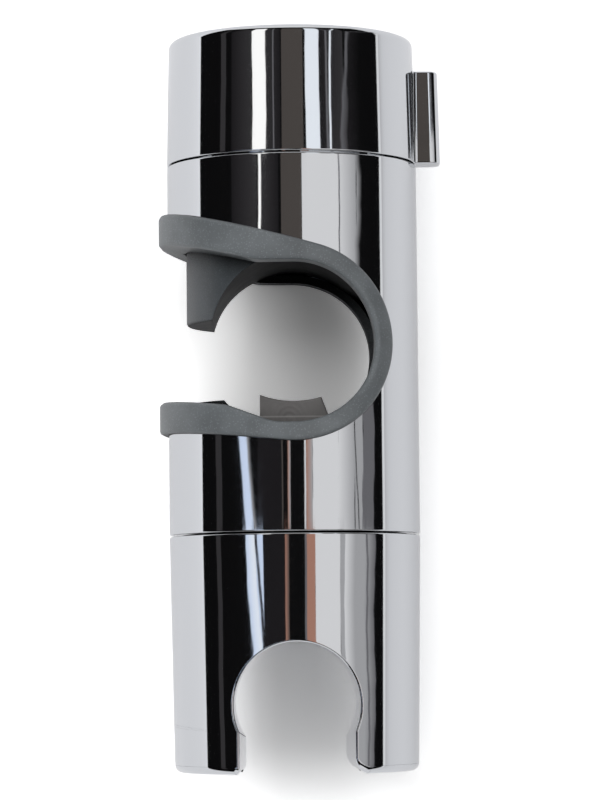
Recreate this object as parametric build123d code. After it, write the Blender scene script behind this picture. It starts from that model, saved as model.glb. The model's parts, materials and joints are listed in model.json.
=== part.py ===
from build123d import *
import math
import os

# Shower rail slider: a chromed cylinder that clamps on a vertical riser rail and carries a handset.
# +Z runs up the rail. The cylinder lies along X, with the turning cap at +X and the handset
# holder at -X. The side mouth of the bore faces +Y, the wall, and the thumb tab faces -Y, the user.
# The origin is the middle of the rail bore. All sizes are millimetres.
# The outside follows the real object. What works inside the closed shells is a plausible build.

# Outer cylinder
body_radius = 20.0
body_length = 59.0
tube_wall = 2.1
seam_gap = 0.25
seam_bevel = 0.2
cap_length = 20.0
cap_draft = 0.4
cap_round = 1.15
cap_top_wall = 1.8
holder_length = 37.35
holder_draft = 0.6
holder_round = 1.2

# Thumb tab on the cap
tab_reach = 3.85
tab_width = 5.5
tab_length = 14.9
tab_draft = 0.3
tab_round = 1.7
tab_edge_round = 0.35
tab_root_round = 0.8

# Rail bore and side mouth
rail_bore_radius = 12.6
mouth_top_corner = 5.8
mouth_top_angle = 15.0
mouth_top_round = 10.0
lip_start = 3.2
lip_corner = 10.6
lip_rise = 2.9
lip_top_angle = 7.5
lip_start_round = 7.0
lip_corner_round = 6.0

# Liner: a flange on the outside of the tube and a web through its wall
flange_margin = 2.9
flange_top_angle = 15.2
flange_bottom_angle = 6.0
flange_seat_gap = 0.03
flange_thickness = 1.4
flange_bevel = 0.5
web_thickness = 1.3
web_gap = 0.05
key_width = 4.86
key_drop = 0.55
key_depth = 1.7
key_length = 16.2
key_gap = 0.15

# Clamp jaw: a piston with a finger, on a hollow stem
jaw_room = 0.9
jaw_gap = 0.2
saddle_radius = 13.1
saddle_lift = 1.0
finger_tip_x = 4.0
finger_tip_round = 0.5
jaw_flat_angle = 35.0
crown_web = 2.0
stem_wall = 3.0
stem_top_margin = 1.7

# Cam that moves the jaw
cam_lead = 25.4
jaw_lift = 12.4
jaw_press = 1.8
pin_radius = 1.5
pin_reach = 1.6
pin_seat_margin = 3.0
cam_wall = 2.6
cam_gap = 0.2
groove_gap = 0.15
cap_roof_gap = 0.4
cam_collar_wall = 1.4
cam_collar_length = 5.0

# Neck on the tube that the cap turns on
neck_step = 2.5
neck_wall = 2.0
neck_length = 6.5
neck_gap = 0.2
bulkhead = 0.95
running_gap = 0.1
clip_width = 1.0
clip_depth = 0.55
clip_reach = 0.5
clip_place = 2.0
clip_opening = 20.0
clip_gap = 0.1
seal_section = 0.72
seal_place = 5.1
seal_gap = 0.02

# Pad carrier, pad and springs
carrier_saddle_radius = 14.0
carrier_gap = 0.05
carrier_roof = 2.4
crest_x = -8.7
pad_top_radius = 15.0
pad_width = 10.8
pad_depth = 21.0
pad_chamfer_width = 1.1
pad_chamfer_height = 2.9
pad_corner_round = 0.4
pad_travel = 3.9
pad_gap = 0.2
pad_foot_thickness = 1.8
pad_foot_margin = 1.3
pad_relief_radius = 4.8
pad_relief_gap = 0.3
spring_place = 7.0
spring_radius = 2.0
spring_wire = 0.3
spring_turns = 5
spring_pocket_gap = 0.3
spring_roof = 3.0
spring_seat_gap = 0.1

# End plate and the screws that join it to the carrier
plate_bead = 0.3
plate_bead_width = 0.8
plate_bead_place = 2.3
plate_thickness = 4.7
plate_gap = 0.05
screw_place = 11.5
screw_radius = 1.5
screw_length = 9.0
screw_head_radius = 2.8
screw_head_height = 2.0
screw_head_sink = 0.25
screw_slot_width = 0.8
screw_slot_depth = 0.9

# Swivel stack on the cylinder's axis
swivel_radius = 2.45
swivel_length = 16.0
swivel_head_radius = 4.2
swivel_head_height = 3.0
socket_size = 3.0
socket_depth = 1.8
disc_spring_thickness = 0.4
disc_spring_cone = 0.3
washer_radius = 4.6
washer_thickness = 0.8
bush_flange_radius = 5.2
bush_flange_thickness = 1.0
bush_wall = 1.2
bush_length = 2.8
recess_gap = 0.15
insert_radius = 4.0
insert_bore = 2.5
insert_length = 9.5
insert_ribs = 18
insert_rib_depth = 0.25
ring_inner_radius = 6.0
ring_outer_radius = 12.0
ring_depth = 1.25
ring_gap = 0.03

# Holder with its keyhole seat
seat_radius = 9.85
seat_place = 10.7
slot_width_top = 18.0
slot_width_bottom = 16.4
slot_span = 34.6
lip_round_user = 2.4
lip_round_wall = 1.0
holder_wall = 2.7
boss_margin = 1.0
holder_roof = 3.2
lip_overrun = 0.03

# How far a cutter runs past the face that it opens
overcut = 1.0

# Places worked out from the sizes above
body_end = body_length / 2
tube_bore = body_radius - tube_wall
cap_foot = body_end + seam_gap
cap_top = cap_foot + cap_length
cap_roof = cap_top - cap_top_wall
holder_face = -body_end - seam_gap
holder_end = holder_face - holder_length
seat_x = holder_end + seat_place
mouth_reach = 2 * body_radius
through = 4 * body_radius
jaw_radius = tube_bore - jaw_room
web_bore = jaw_radius + jaw_gap
flange_inner = body_radius + flange_seat_gap
flange_outer = flange_inner + flange_thickness
neck_radius = body_radius - neck_step
neck_bore = neck_radius - neck_wall
neck_top = body_end + neck_length
cap_bore = neck_radius + neck_gap
clip_start = body_end + clip_place
clip_end = clip_start + clip_width
seal_radius = cap_bore - seal_gap - seal_section
cam_outer = neck_bore - neck_gap
cam_inner = cam_outer - cam_wall
stem_radius = cam_inner - cam_gap
crown_top = saddle_lift + saddle_radius + crown_web
stem_top = cap_roof - cap_roof_gap - jaw_lift
pin_x = stem_top - stem_top_margin
cam_foot = crown_top + jaw_lift + 2 * cam_gap
plate_top = -body_end + plate_thickness
bead_start = -body_end + plate_bead_place
bead_end = bead_start + plate_bead_width
recess_floor = -body_end + bush_length
bush_outer = swivel_radius + running_gap + bush_wall
bush_top = recess_floor + bush_flange_thickness
washer_top = bush_top + washer_thickness
swivel_seat = washer_top + disc_spring_cone + disc_spring_thickness
swivel_top = swivel_seat + swivel_head_height
screw_seat = -body_end + screw_head_height
screw_tip = screw_seat + screw_length
foot_half_width = pad_width / 2 + pad_foot_margin
foot_half_depth = pad_depth / 2 + pad_foot_margin
shoulder_x = -carrier_saddle_radius - carrier_roof
pad_foot_top = shoulder_x - pad_gap
pad_foot_end = pad_foot_top - pad_foot_thickness
spring_top = crest_x - spring_roof


def turned(*corners):
    """Solid turned about the X axis from corners given as (x, radius)."""
    return revolve(make_face(Polyline(*corners, close=True)), Axis.X)


def rod_x(radius, start, end, y=0.0, z=0.0):
    """Round rod along X from start to end."""
    return Pos((start + end) / 2, y, z) * Rot(0, 90, 0) * Cylinder(radius, abs(end - start))


def ring_x(outer, inner, start, end):
    """Plain ring around the X axis."""
    return rod_x(outer, start, end) - rod_x(inner, start - overcut, end + overcut)


def rod_z(radius, length, x=0.0, y=0.0):
    """Round rod along Z, centred on the XY plane."""
    return Pos(x, y, 0) * Cylinder(radius, length)


def block(x_range, y_range, z_range):
    """Box between three pairs of limits."""
    low = Vector(x_range[0], y_range[0], z_range[0])
    high = Vector(x_range[1], y_range[1], z_range[1])
    return Pos((low + high) / 2) * Box(high.X - low.X, high.Y - low.Y, high.Z - low.Z)


def mouth_outline():
    """Outline of the rail bore with its side mouth, in the XY plane."""
    radius = rail_bore_radius
    top_run = mouth_reach - mouth_top_corner
    top_end = (radius + top_run * math.tan(math.radians(mouth_top_angle)), mouth_reach)
    lip_top = -radius + lip_rise
    lip_run = mouth_reach - lip_corner
    lip_end = (lip_top + lip_run * math.tan(math.radians(lip_top_angle)), mouth_reach)
    upper = FilletPolyline((radius, 0), (radius, mouth_top_corner), top_end, radius=[mouth_top_round])
    lower = FilletPolyline((-radius, 0), (-radius, lip_start), (lip_top, lip_corner), lip_end,
                           radius=[lip_start_round, lip_corner_round])
    closing = Line(top_end, lip_end)
    back = CenterArc((0, 0), radius, 180, 180)
    return make_face(Curve() + [upper, closing, lower, back])


def flange_outline():
    """Outer outline of the flange: a circle round the bore with two arms that flare to the mouth."""
    radius = rail_bore_radius + flange_margin
    top = math.radians(flange_top_angle)
    bottom = math.radians(flange_bottom_angle)
    top_start = Vector(radius * math.cos(top), -radius * math.sin(top))
    bottom_start = Vector(-radius * math.cos(bottom), radius * math.sin(bottom))
    top_end = top_start + Vector(math.sin(top), math.cos(top)) * mouth_reach
    bottom_end = bottom_start + Vector(math.sin(bottom), math.cos(bottom)) * mouth_reach
    arms = make_face(Polyline(top_start, top_end, bottom_end, bottom_start, close=True))
    return Circle(radius) + arms


def through_z(outline):
    """Outline carried right through the cylinder along Z."""
    return extrude(outline, through / 2, both=True)


def make_body_shell():
    """Chromed tube with a neck for the cap, a cross bore and a side mouth."""
    shell = turned((-body_end, tube_bore), (-body_end, body_radius), (body_end, body_radius),
                   (body_end, neck_radius), (neck_top, neck_radius), (neck_top, neck_bore),
                   (body_end - bulkhead, neck_bore), (body_end - bulkhead, tube_bore))
    rims = [e for e in shell.edges().filter_by(GeomType.CIRCLE) if abs(e.radius - body_radius) < 0.01]
    shell = chamfer(rims, seam_bevel)
    shell -= ring_x(neck_radius + overcut, neck_radius - clip_depth - clip_gap, clip_start - clip_gap,
                    clip_end + clip_gap)
    seal_x = body_end + seal_place
    shell -= ring_x(neck_radius + overcut, seal_radius - seal_section - seal_gap,
                    seal_x - seal_section - clip_gap, seal_x + seal_section + clip_gap)
    shell -= ring_x(tube_bore + plate_bead + plate_gap, tube_bore - overcut, bead_start - plate_gap,
                    bead_end + plate_gap)
    opening = offset(mouth_outline(), web_thickness + web_gap)
    return shell - through_z(opening)


def make_rail_liner():
    """C-shaped moulded liner: flange, web and guide key in one piece."""
    mouth = through_z(mouth_outline())
    flange = (through_z(flange_outline()) - mouth) & ring_x(flange_outer, flange_inner, -body_end, body_end)
    sleeve = through_z(offset(mouth_outline(), web_thickness)) - mouth
    web = sleeve & ring_x(flange_inner + flange_thickness / 2, web_bore, -body_end, body_end)
    key_foot = rail_bore_radius - key_drop
    key = block((key_foot, key_foot + key_length), (-key_width / 2, key_width / 2),
                (-body_radius, key_depth - web_bore))
    key &= rod_x(tube_bore - web_gap, -body_end, body_end)
    liner = flange + web + key
    outer_edges = [e for e in liner.edges()
                   if all(math.hypot((e @ t).Y, (e @ t).Z) > flange_outer - 0.01 for t in (0, 0.5, 1))]
    return chamfer(outer_edges, flange_bevel)


def make_clamp_jaw():
    """Piston with a saddle, a finger at the mouth side and a hollow stem."""
    piston = rod_x(jaw_radius, finger_tip_x, crown_top)
    piston = fillet(piston.edges().filter_by(GeomType.CIRCLE).sort_by(Axis.X)[0], finger_tip_round)
    piston -= rod_z(saddle_radius, through, x=saddle_lift)
    piston -= jaw_flat_cut()
    stem = ring_x(stem_radius, stem_radius - stem_wall, crown_top - crown_web / 2, stem_top)
    jaw = piston + stem
    half_key = key_width / 2 + key_gap
    jaw -= block((0, stem_top), (-half_key, half_key), (-body_radius, key_depth + key_gap - web_bore))
    return jaw - rod_z(pin_radius, through, x=pin_x)


def jaw_flat_cut():
    """Everything under the slanted flat on the jaw's closed side."""
    angle = math.radians(jaw_flat_angle)
    normal = Vector(math.cos(angle), -math.sin(angle))
    along = Vector(-math.sin(angle), -math.cos(angle))
    touch = Vector(saddle_lift, 0) + normal * saddle_radius
    far = touch + along * mouth_reach
    corner = Vector(far.X, touch.Y)
    return through_z(make_face(Polyline(touch, far, corner, close=True)))


def make_cam_pins():
    """Two pins across the stem, each reaching into a groove of the cam sleeve."""
    inner = stem_radius - pin_seat_margin
    outer = stem_radius + pin_reach
    length = outer - inner
    pin = Cylinder(pin_radius, length)
    pin = chamfer(pin.edges().sort_by(Axis.Z)[-1], pin_radius / 5)
    upper = Pos(pin_x, 0, inner + length / 2) * pin
    return [upper, upper.rotate(Axis.X, 180)]


def make_cam_sleeve():
    """Sleeve with two left-hand grooves, one for each pin."""
    sleeve = ring_x(cam_outer, cam_inner, cam_foot, cap_roof)
    radius = cam_inner + pin_reach / 2
    width = 2 * (pin_radius + groove_gap)
    depth = pin_reach + 2 * groove_gap
    end_room = width / 2 * cam_lead / math.hypot(cam_lead, 2 * math.pi * radius)
    start = cam_foot - width / 2
    path = Helix(cam_lead, pin_x + jaw_lift + end_room - start, radius, lefthand=True)
    section = Plane(origin=path @ 0, x_dir=(1, 0, 0), z_dir=path % 0) * Rectangle(depth, width)
    groove = sweep(section, path=path, is_frenet=True)
    turn_at_rest = 360 * (pin_x - start) / cam_lead
    for side in (0, 180):
        sleeve -= Pos(start, 0, 0) * Rot(0, 90, 0) * Rot(0, 0, turn_at_rest + side) * groove
    return sleeve


def make_lock_cap():
    """Chromed cup with a drafted wall and a thumb tab on one side."""
    cap = turned((cap_foot, 0), (cap_foot, body_radius), (cap_top, body_radius - cap_draft), (cap_top, 0))
    rims = cap.edges().filter_by(GeomType.CIRCLE).sort_by(Axis.X)
    cap = fillet(rims[-1], cap_round)
    tab = make_tab()
    cap += tab
    cap = round_tab_root(cap)
    foot_rims = [e for e in cap.edges() if abs(e.bounding_box().max.X - cap_foot) < 0.01]
    cap = chamfer(foot_rims, seam_bevel)
    cap -= rod_x(cap_bore, cap_foot - overcut, cap_roof)
    cap -= ring_x(cap_bore + clip_reach + clip_gap, cap_bore - overcut, clip_start - 2 * clip_gap,
                  clip_end + 2 * clip_gap)
    collar_foot = cap_roof - cam_collar_length
    collar = ring_x(cam_outer + cam_collar_wall, cam_outer, collar_foot, cap_roof)
    return cap + collar


def make_tab():
    """Thumb tab: a drafted block with a rounded outer end, flush with the cap's foot."""
    root = -(body_radius - tab_reach)
    tip = -(body_radius + tab_reach)
    outline = Polyline((cap_foot, root), (cap_foot, tip), (cap_foot + tab_length, tip + tab_draft),
                       (cap_foot + tab_length, root), close=True)
    tab = extrude(make_face(outline), tab_width / 2, both=True)
    corners = [e for e in tab.edges() if abs(e.center().Z) > tab_width / 2 - 0.01
               and e.center().Y < tip + tab_draft + 0.01]
    tab = fillet(corners, tab_round)
    top_edges = [e for e in tab.edges() if e.bounding_box().min.X > cap_foot + tab_length - 0.01
                 and e.center().Y < root - 0.01]
    return fillet(top_edges, tab_edge_round)


def round_tab_root(cap):
    """Small hollow round where the tab's sides meet the cap's wall."""
    root_edges = [e for e in cap.edges()
                  if abs(abs(e.center().Z) - tab_width / 2) < 0.3
                  and abs(math.hypot(e.center().Y, e.center().Z) - body_radius) < cap_draft
                  and e.length > tab_length / 2]
    return fillet(root_edges, tab_root_round)


def make_cap_clip():
    """Split ring between the neck and the cap."""
    ring = ring_x(cap_bore + clip_reach, neck_radius - clip_depth, clip_start, clip_end)
    half = math.radians(clip_opening / 2)
    far = 2 * body_radius
    side = far * math.tan(half)
    wedge = make_face(Polyline((0, 0), (far, side), (far, -side), close=True))
    cutter = Rot(0, 90, 0) * extrude(wedge, through, both=True)
    return ring - cutter


def make_neck_seal():
    """Moulded rubber ring of six-sided section in the neck's second groove."""
    section = Pos(body_end + seal_place, seal_radius) * RegularPolygon(seal_section, 6)
    return revolve(section, Axis.X)


def make_pad_carrier():
    """Inner moulding under the bore, with a saddle, a lip each side and a well for the pad."""
    neck = rod_x(jaw_radius, shoulder_x, crest_x)
    base = rod_x(tube_bore - carrier_gap, plate_top, shoulder_x)
    carrier = neck + base - rod_z(carrier_saddle_radius, through)
    half_width = pad_width / 2 + pad_gap
    half_depth = pad_depth / 2 + pad_gap
    carrier -= block((plate_top, 0), (-half_width, half_width), (-half_depth, half_depth))
    well_width = foot_half_width + pad_gap
    well_depth = foot_half_depth + pad_gap
    carrier -= block((plate_top - overcut, shoulder_x), (-well_width, well_width), (-well_depth, well_depth))
    for side in (-1, 1):
        carrier -= rod_x(screw_radius, plate_top - overcut, screw_tip, y=side * screw_place)
    return carrier


def make_rail_pad():
    """Moulded pad with a hollow top, a foot that keeps it in its well and two spring pockets."""
    low = pad_foot_end
    half = pad_width / 2
    peak = crest_x + pad_top_radius
    drop = math.sqrt(pad_top_radius ** 2 - half ** 2)
    cut_half = half - pad_chamfer_width
    right_drop = math.sqrt(pad_top_radius ** 2 - cut_half ** 2)
    left_top = (peak - drop, half)
    right_top = (peak - right_drop, -cut_half)
    right_low = (peak - right_drop - pad_chamfer_height, -half)
    saddle = ThreePointArc(right_top, (crest_x, 0), left_top)
    sides = Polyline(left_top, (low, half), (low, -half), right_low, right_top)
    pad = extrude(make_face(Curve() + [saddle, sides]), pad_depth / 2, both=True)
    ends = [e for e in pad.edges() if abs(abs(e.center().Z) - pad_depth / 2) < 0.01
            and e.center().X > right_low[0] - 0.01]
    pad = fillet(ends, pad_corner_round)
    pad += block((low, pad_foot_top), (-foot_half_width, foot_half_width),
                 (-foot_half_depth, foot_half_depth))
    pad -= rod_x(pad_relief_radius, low - overcut, swivel_top + pad_travel + pad_relief_gap)
    for side in (-1, 1):
        pad -= rod_x(spring_radius + spring_wire + spring_pocket_gap, low - overcut,
                     spring_top + spring_seat_gap, z=side * spring_place)
    return pad


def make_pad_springs():
    """Two compression springs that push the pad into the bore."""
    foot = plate_top + spring_wire + spring_seat_gap
    height = spring_top - spring_wire - foot
    path = Helix(height / spring_turns, height, spring_radius)
    wire = Plane(origin=path @ 0, x_dir=(1, 0, 0), z_dir=path % 0)
    section = wire * Rectangle(2 * spring_wire, 2 * spring_wire)
    coil = Rot(0, 90, 0) * sweep(section, path=path, is_frenet=True)
    return [Pos(foot, 0, side * spring_place) * coil for side in (-1, 1)]


def make_end_plate():
    """Plate that closes the tube's lower end and carries the swivel bush."""
    rim = tube_bore - plate_gap
    bead = tube_bore + plate_bead
    plate = turned((-body_end, 0), (-body_end, rim), (bead_start, rim), (bead_start, bead),
                   (bead_end, bead), (bead_end, rim), (plate_top, rim), (plate_top, 0))
    plate -= rod_x(bush_flange_radius + recess_gap, recess_floor, plate_top + overcut)
    plate -= rod_x(bush_outer, -body_end - overcut, recess_floor + overcut)
    for side in (-1, 1):
        place = side * screw_place
        plate -= rod_x(screw_radius + recess_gap, -body_end - overcut, plate_top + overcut, y=place)
        plate -= rod_x(screw_head_radius + recess_gap, -body_end - overcut, screw_seat, y=place)
    return plate


def make_swivel_bush():
    """Flanged bush that the swivel screw turns in."""
    bore = swivel_radius + running_gap
    return turned((-body_end, bore), (-body_end, bush_outer), (recess_floor, bush_outer),
                  (recess_floor, bush_flange_radius), (bush_top, bush_flange_radius), (bush_top, bore))


def make_thrust_washer():
    """Plain steel washer on the bush's flange."""
    return ring_x(washer_radius, swivel_radius + running_gap, bush_top, washer_top)


def make_disc_spring():
    """Coned spring washer under the swivel screw's head."""
    bore = swivel_radius + running_gap
    rim = swivel_head_radius
    return turned((washer_top + disc_spring_cone, bore), (washer_top, rim),
                  (washer_top + disc_spring_thickness, rim), (swivel_seat, bore))


def make_swivel_screw():
    """Socket-head screw on the cylinder's axis."""
    tip = swivel_seat - swivel_length
    screw = turned((tip, 0), (tip, swivel_radius - seam_bevel), (tip + seam_bevel, swivel_radius),
                   (swivel_seat, swivel_radius), (swivel_seat, swivel_head_radius),
                   (swivel_top - seam_bevel, swivel_head_radius),
                   (swivel_top, swivel_head_radius - seam_bevel), (swivel_top, 0))
    socket = extrude(RegularPolygon(socket_size / 2, 6), socket_depth, both=True)
    return screw - Pos(swivel_top, 0, 0) * Rot(0, 90, 0) * socket


def make_carrier_screws():
    """Two slotted screws from the end plate up into the carrier."""
    head_face = -body_end + screw_head_sink
    screw = rod_x(screw_radius, screw_seat, screw_tip) + rod_x(screw_head_radius, head_face, screw_seat)
    screw -= block((-body_end, head_face + screw_slot_depth), (-screw_slot_width / 2, screw_slot_width / 2),
                   (-screw_head_radius, screw_head_radius))
    return [Pos(0, side * screw_place, 0) * screw for side in (-1, 1)]


def make_threaded_insert():
    """Ribbed brass insert in the holder's boss."""
    top = holder_face - ring_depth
    insert = ring_x(insert_radius, insert_bore, top - insert_length, top)
    for index in range(insert_ribs):
        groove = rod_x(insert_rib_depth, top - insert_length - overcut, top - insert_length / 4,
                       y=insert_radius)
        insert -= groove.rotate(Axis.X, 360 * index / insert_ribs)
    return insert


def make_friction_ring():
    """Ring that the holder's top presses against the end plate."""
    return ring_x(ring_outer_radius, ring_inner_radius, holder_face - ring_depth, -body_end - ring_gap)


def make_handset_holder():
    """Chromed end piece with a round seat, a slot to its end and a hollow under its top face."""
    holder = turned((holder_face, 0), (holder_face, body_radius), (holder_end, body_radius - holder_draft),
                    (holder_end, 0))
    rims = holder.edges().filter_by(GeomType.CIRCLE).sort_by(Axis.X)
    holder = fillet(rims[0], holder_round)
    holder = chamfer(holder.edges().filter_by(GeomType.CIRCLE).sort_by(Axis.X)[-1], seam_bevel)
    holder -= rod_z(seat_radius, through, x=seat_x)
    holder -= hose_slot()
    pocket_floor = seat_x + seat_radius + holder_roof
    holder -= ring_x(body_radius - holder_wall, ring_outer_radius + boss_margin, pocket_floor,
                     holder_face + overcut)
    holder -= rod_x(ring_outer_radius, holder_face - ring_depth, holder_face + overcut)
    return holder - rod_x(insert_radius, holder_face - ring_depth - insert_length, holder_face)


def hose_slot():
    """Slot from the seat to the holder's end, a little wider on top than underneath."""
    middle = (slot_width_top + slot_width_bottom) / 4
    change = (slot_width_top - slot_width_bottom) / 4 * through / slot_span
    low = Pos(0, 0, -through / 2) * slot_outline(middle - change)
    high = Pos(0, 0, through / 2) * slot_outline(middle + change)
    return loft([low, high], ruled=True)


def slot_outline(half_width):
    """Outline of the slot at one height, with the lips' rounds at the end face."""
    end = holder_end - lip_overrun
    user = -half_width
    wall = half_width
    shape = [
        Line((seat_x, wall), (seat_x, user)),
        Line((seat_x, user), (end + lip_round_user, user)),
        RadiusArc((end + lip_round_user, user), (end, user - lip_round_user), lip_round_user),
        Line((end, user - lip_round_user), (end - overcut, user - lip_round_user)),
        Line((end - overcut, user - lip_round_user), (end - overcut, wall + lip_round_wall)),
        Line((end - overcut, wall + lip_round_wall), (end, wall + lip_round_wall)),
        RadiusArc((end, wall + lip_round_wall), (end + lip_round_wall, wall), lip_round_wall),
        Line((end + lip_round_wall, wall), (seat_x, wall)),
    ]
    return make_face(Curve() + shape)


PIECES = {
    "body_shell": make_body_shell,
    "rail_liner": make_rail_liner,
    "clamp_jaw": make_clamp_jaw,
    "cam_pins": make_cam_pins,
    "cam_sleeve": make_cam_sleeve,
    "lock_cap": make_lock_cap,
    "cap_clip": make_cap_clip,
    "neck_seal": make_neck_seal,
    "pad_carrier": make_pad_carrier,
    "rail_pad": make_rail_pad,
    "pad_springs": make_pad_springs,
    "end_plate": make_end_plate,
    "swivel_bush": make_swivel_bush,
    "thrust_washer": make_thrust_washer,
    "disc_spring": make_disc_spring,
    "swivel_screw": make_swivel_screw,
    "carrier_screws": make_carrier_screws,
    "threaded_insert": make_threaded_insert,
    "friction_ring": make_friction_ring,
    "handset_holder": make_handset_holder,
}

os.makedirs("parts", exist_ok=True)
for name, make in PIECES.items():
    made = make()
    shape = Compound(children=made) if isinstance(made, list) else made
    export_step(shape, f"parts/{name}.step")
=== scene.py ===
"""Looks, stage and camera for the shower rail slider, built around its fixed CAD frame."""
import json
import math

import bmesh
import bpy
import numpy as np
from mathutils import Matrix, Vector


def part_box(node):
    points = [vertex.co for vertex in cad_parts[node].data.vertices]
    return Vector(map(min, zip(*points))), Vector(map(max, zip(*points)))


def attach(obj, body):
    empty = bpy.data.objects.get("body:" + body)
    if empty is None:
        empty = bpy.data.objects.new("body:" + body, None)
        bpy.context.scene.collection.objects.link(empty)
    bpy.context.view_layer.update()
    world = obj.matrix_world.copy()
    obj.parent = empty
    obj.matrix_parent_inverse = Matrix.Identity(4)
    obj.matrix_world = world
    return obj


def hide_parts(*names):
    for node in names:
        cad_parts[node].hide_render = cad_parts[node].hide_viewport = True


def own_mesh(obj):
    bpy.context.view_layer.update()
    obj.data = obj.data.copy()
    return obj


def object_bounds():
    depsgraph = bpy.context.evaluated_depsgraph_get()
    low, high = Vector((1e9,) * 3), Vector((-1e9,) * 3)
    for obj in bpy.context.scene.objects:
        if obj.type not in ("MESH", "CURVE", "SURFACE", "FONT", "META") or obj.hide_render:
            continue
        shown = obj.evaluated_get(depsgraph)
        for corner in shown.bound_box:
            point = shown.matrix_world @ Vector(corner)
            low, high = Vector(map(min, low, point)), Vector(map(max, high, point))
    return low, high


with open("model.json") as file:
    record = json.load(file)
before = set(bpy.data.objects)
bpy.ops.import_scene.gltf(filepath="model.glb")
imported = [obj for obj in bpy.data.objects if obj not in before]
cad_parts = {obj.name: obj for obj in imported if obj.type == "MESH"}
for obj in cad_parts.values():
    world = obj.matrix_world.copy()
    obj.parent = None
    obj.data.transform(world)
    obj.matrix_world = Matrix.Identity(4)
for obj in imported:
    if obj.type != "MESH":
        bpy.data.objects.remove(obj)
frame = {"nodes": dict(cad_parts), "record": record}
cad_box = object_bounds()

bl_info = {
    "name": "Shower Rail Slider",
    "version": (1, 0, 0),
    "blender": (4, 5, 0),
    "location": "View3D > Sidebar > Slider",
    "description": "Builds the looks, the stage and the camera of a shower rail slider",
    "category": "Object",
}

# One millimetre in the frame's metres
MM = 0.001


def box_mm(node):
    """Lowest and highest corner of a CAD node, in millimetres."""
    return [[value * 1000 for value in corner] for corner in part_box(node)]


# Sizes that come from the frame, in millimetres
shell_low, shell_high = box_mm("body_shell")
cap_low, cap_high = box_mm("lock_cap")
holder_low, holder_high = box_mm("handset_holder")

BODY_RADIUS = shell_high[2]
BODY_END = -shell_low[0]
CAP_FOOT = cap_low[0]
CAP_TOP = cap_high[0]
TAB_TIP = cap_low[1]
HOLDER_FACE = holder_high[0]
HOLDER_END = holder_low[0]
FLANGE_OUTER = box_mm("rail_liner")[1][2]

# Sizes of the forms that the frame only shows as facets, in millimetres and degrees
SEAM_ROUND = 0.25
NECK_RADIUS = BODY_RADIUS - 2.5
CAP_DRAFT = 0.4
CAP_ROUND = 1.15
TAB_LENGTH = 14.9
TAB_HALF_WIDTH = 2.75
TAB_DRAFT = 0.3
TAB_ROUND = 1.7
TAB_EDGE_ROUND = 0.4
TAB_ROOT_ROUND = 0.8
TAB_EMBED = 0.25
TAB_FACE_DEPTH = 1.5
CAP_TOP_STEP = 0.02
CAP_NECK_GAP = 0.2
CAP_LIP = 2.0
HOLDER_BORE = 12.5
HOLDER_DRAFT = 0.6
HOLDER_ROUND = 1.2
SEAT_RADIUS = 9.85
SEAT_X = HOLDER_END + 10.7
SLOT_HALF_TOP = 9.0
SLOT_HALF_BOTTOM = 8.2
LIP_ROUND_USER = 2.4
LIP_ROUND_WALL = 1.0
SEAT_EDGE_ROUND = 0.3
BORE_RADIUS = 12.6
MOUTH_CORNER = 5.8
MOUTH_ANGLE = 15.0
MOUTH_ROUND = 10.0
LIP_START = 3.2
LIP_CORNER = 10.6
LIP_RISE = 2.9
LIP_ANGLE = 7.5
LIP_START_ROUND = 7.0
LIP_CORNER_ROUND = 6.0
WEB_THICKNESS = 1.3
WEB_GAP = 0.05
WEB_BORE = 17.2
FLANGE_MARGIN = 2.9
FLANGE_TOP_ANGLE = 15.2
FLANGE_BOTTOM_ANGLE = 6.0
FLANGE_ROUND = 0.6
FLANGE_SEAT = BODY_RADIUS + 0.03
TUBE_WALL = 2.1
BULKHEAD = 0.95
NECK_WALL = 2.0
NECK_LENGTH = 6.5
JAW_RADIUS = WEB_BORE - 0.2
SADDLE_RADIUS = 13.1
CARRIER_SADDLE_RADIUS = 14.0
PAD_TOP_RADIUS = 15.0
FLOOR_GAP = 0.05
PART_MIDDLE_X = (CAP_TOP + HOLDER_END) / 2
PART_REACH_X = (CAP_TOP - HOLDER_END) / 2

# Farther than any place on the part, in millimetres, to leave the other arm's points out
FAR = 99
# Width of the tab's end faces at the cylinder, as a share of their width outside
TAB_FACE_SHARE = 0.9
# How far from a curved wall a face's corner may lie, in millimetres, and how squarely it must face it
WALL_TOLERANCE = 0.03
WALL_FACING = 0.97
# The liner's edges are sharp where its faces turn by more than this, in degrees
SHARP_ANGLE = 40

# Points that agree to this many digits of a millimetre are merged
MERGE_DIGITS = 4
# Numbers of points along the outlines and round the edges, and of rows on the walls
OUTLINE_MARKS = 8000
LIP_STEPS = 14
SLOT_STEPS = 20
SEAT_STEPS = 140
ROUND_STEPS = 6
CAP_STEPS = 361
TUBE_ROWS = 61
HOLDER_ROWS = 41
FACE_ROWS = 9
WEB_ROWS = 8
COIL_STEPS = 32
WIRE_SIDES = 10

# Places along X from which the rows of points on the two cut walls spread, in millimetres
MOUTH_CENTRE_X = 3.0
SEAT_CENTRE_X = -61.0

# Where the camera stands over the part and what it looks at, in millimetres, and its roll in degrees
CAMERA_X = -48.6
CAMERA_Y = 4.0
CAMERA_ROLL = 0.567
AIM = (-7.9, -1.02, 0)

# The pad's parting line along X, and its gate on the face toward the camera
PAD_PARTING_X = -11.2
PAD_GATE = (-11.4, 0.8, 10.5)

# Cells of each texture in a metre, or along X and across it, and radians of the gate's rings
RIPPLE_CELLS = (22, 70, 70)
LATHE_CELLS = (4000, 60, 60)
HAZE_CELLS = 900.0
CLOUD_CELLS = 220.0
SPECK_CELLS = 2700.0
GRAIN_CELLS = 3200.0
BLOOM_CELLS = 700.0
RING_RADIANS = 7500.0

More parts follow.
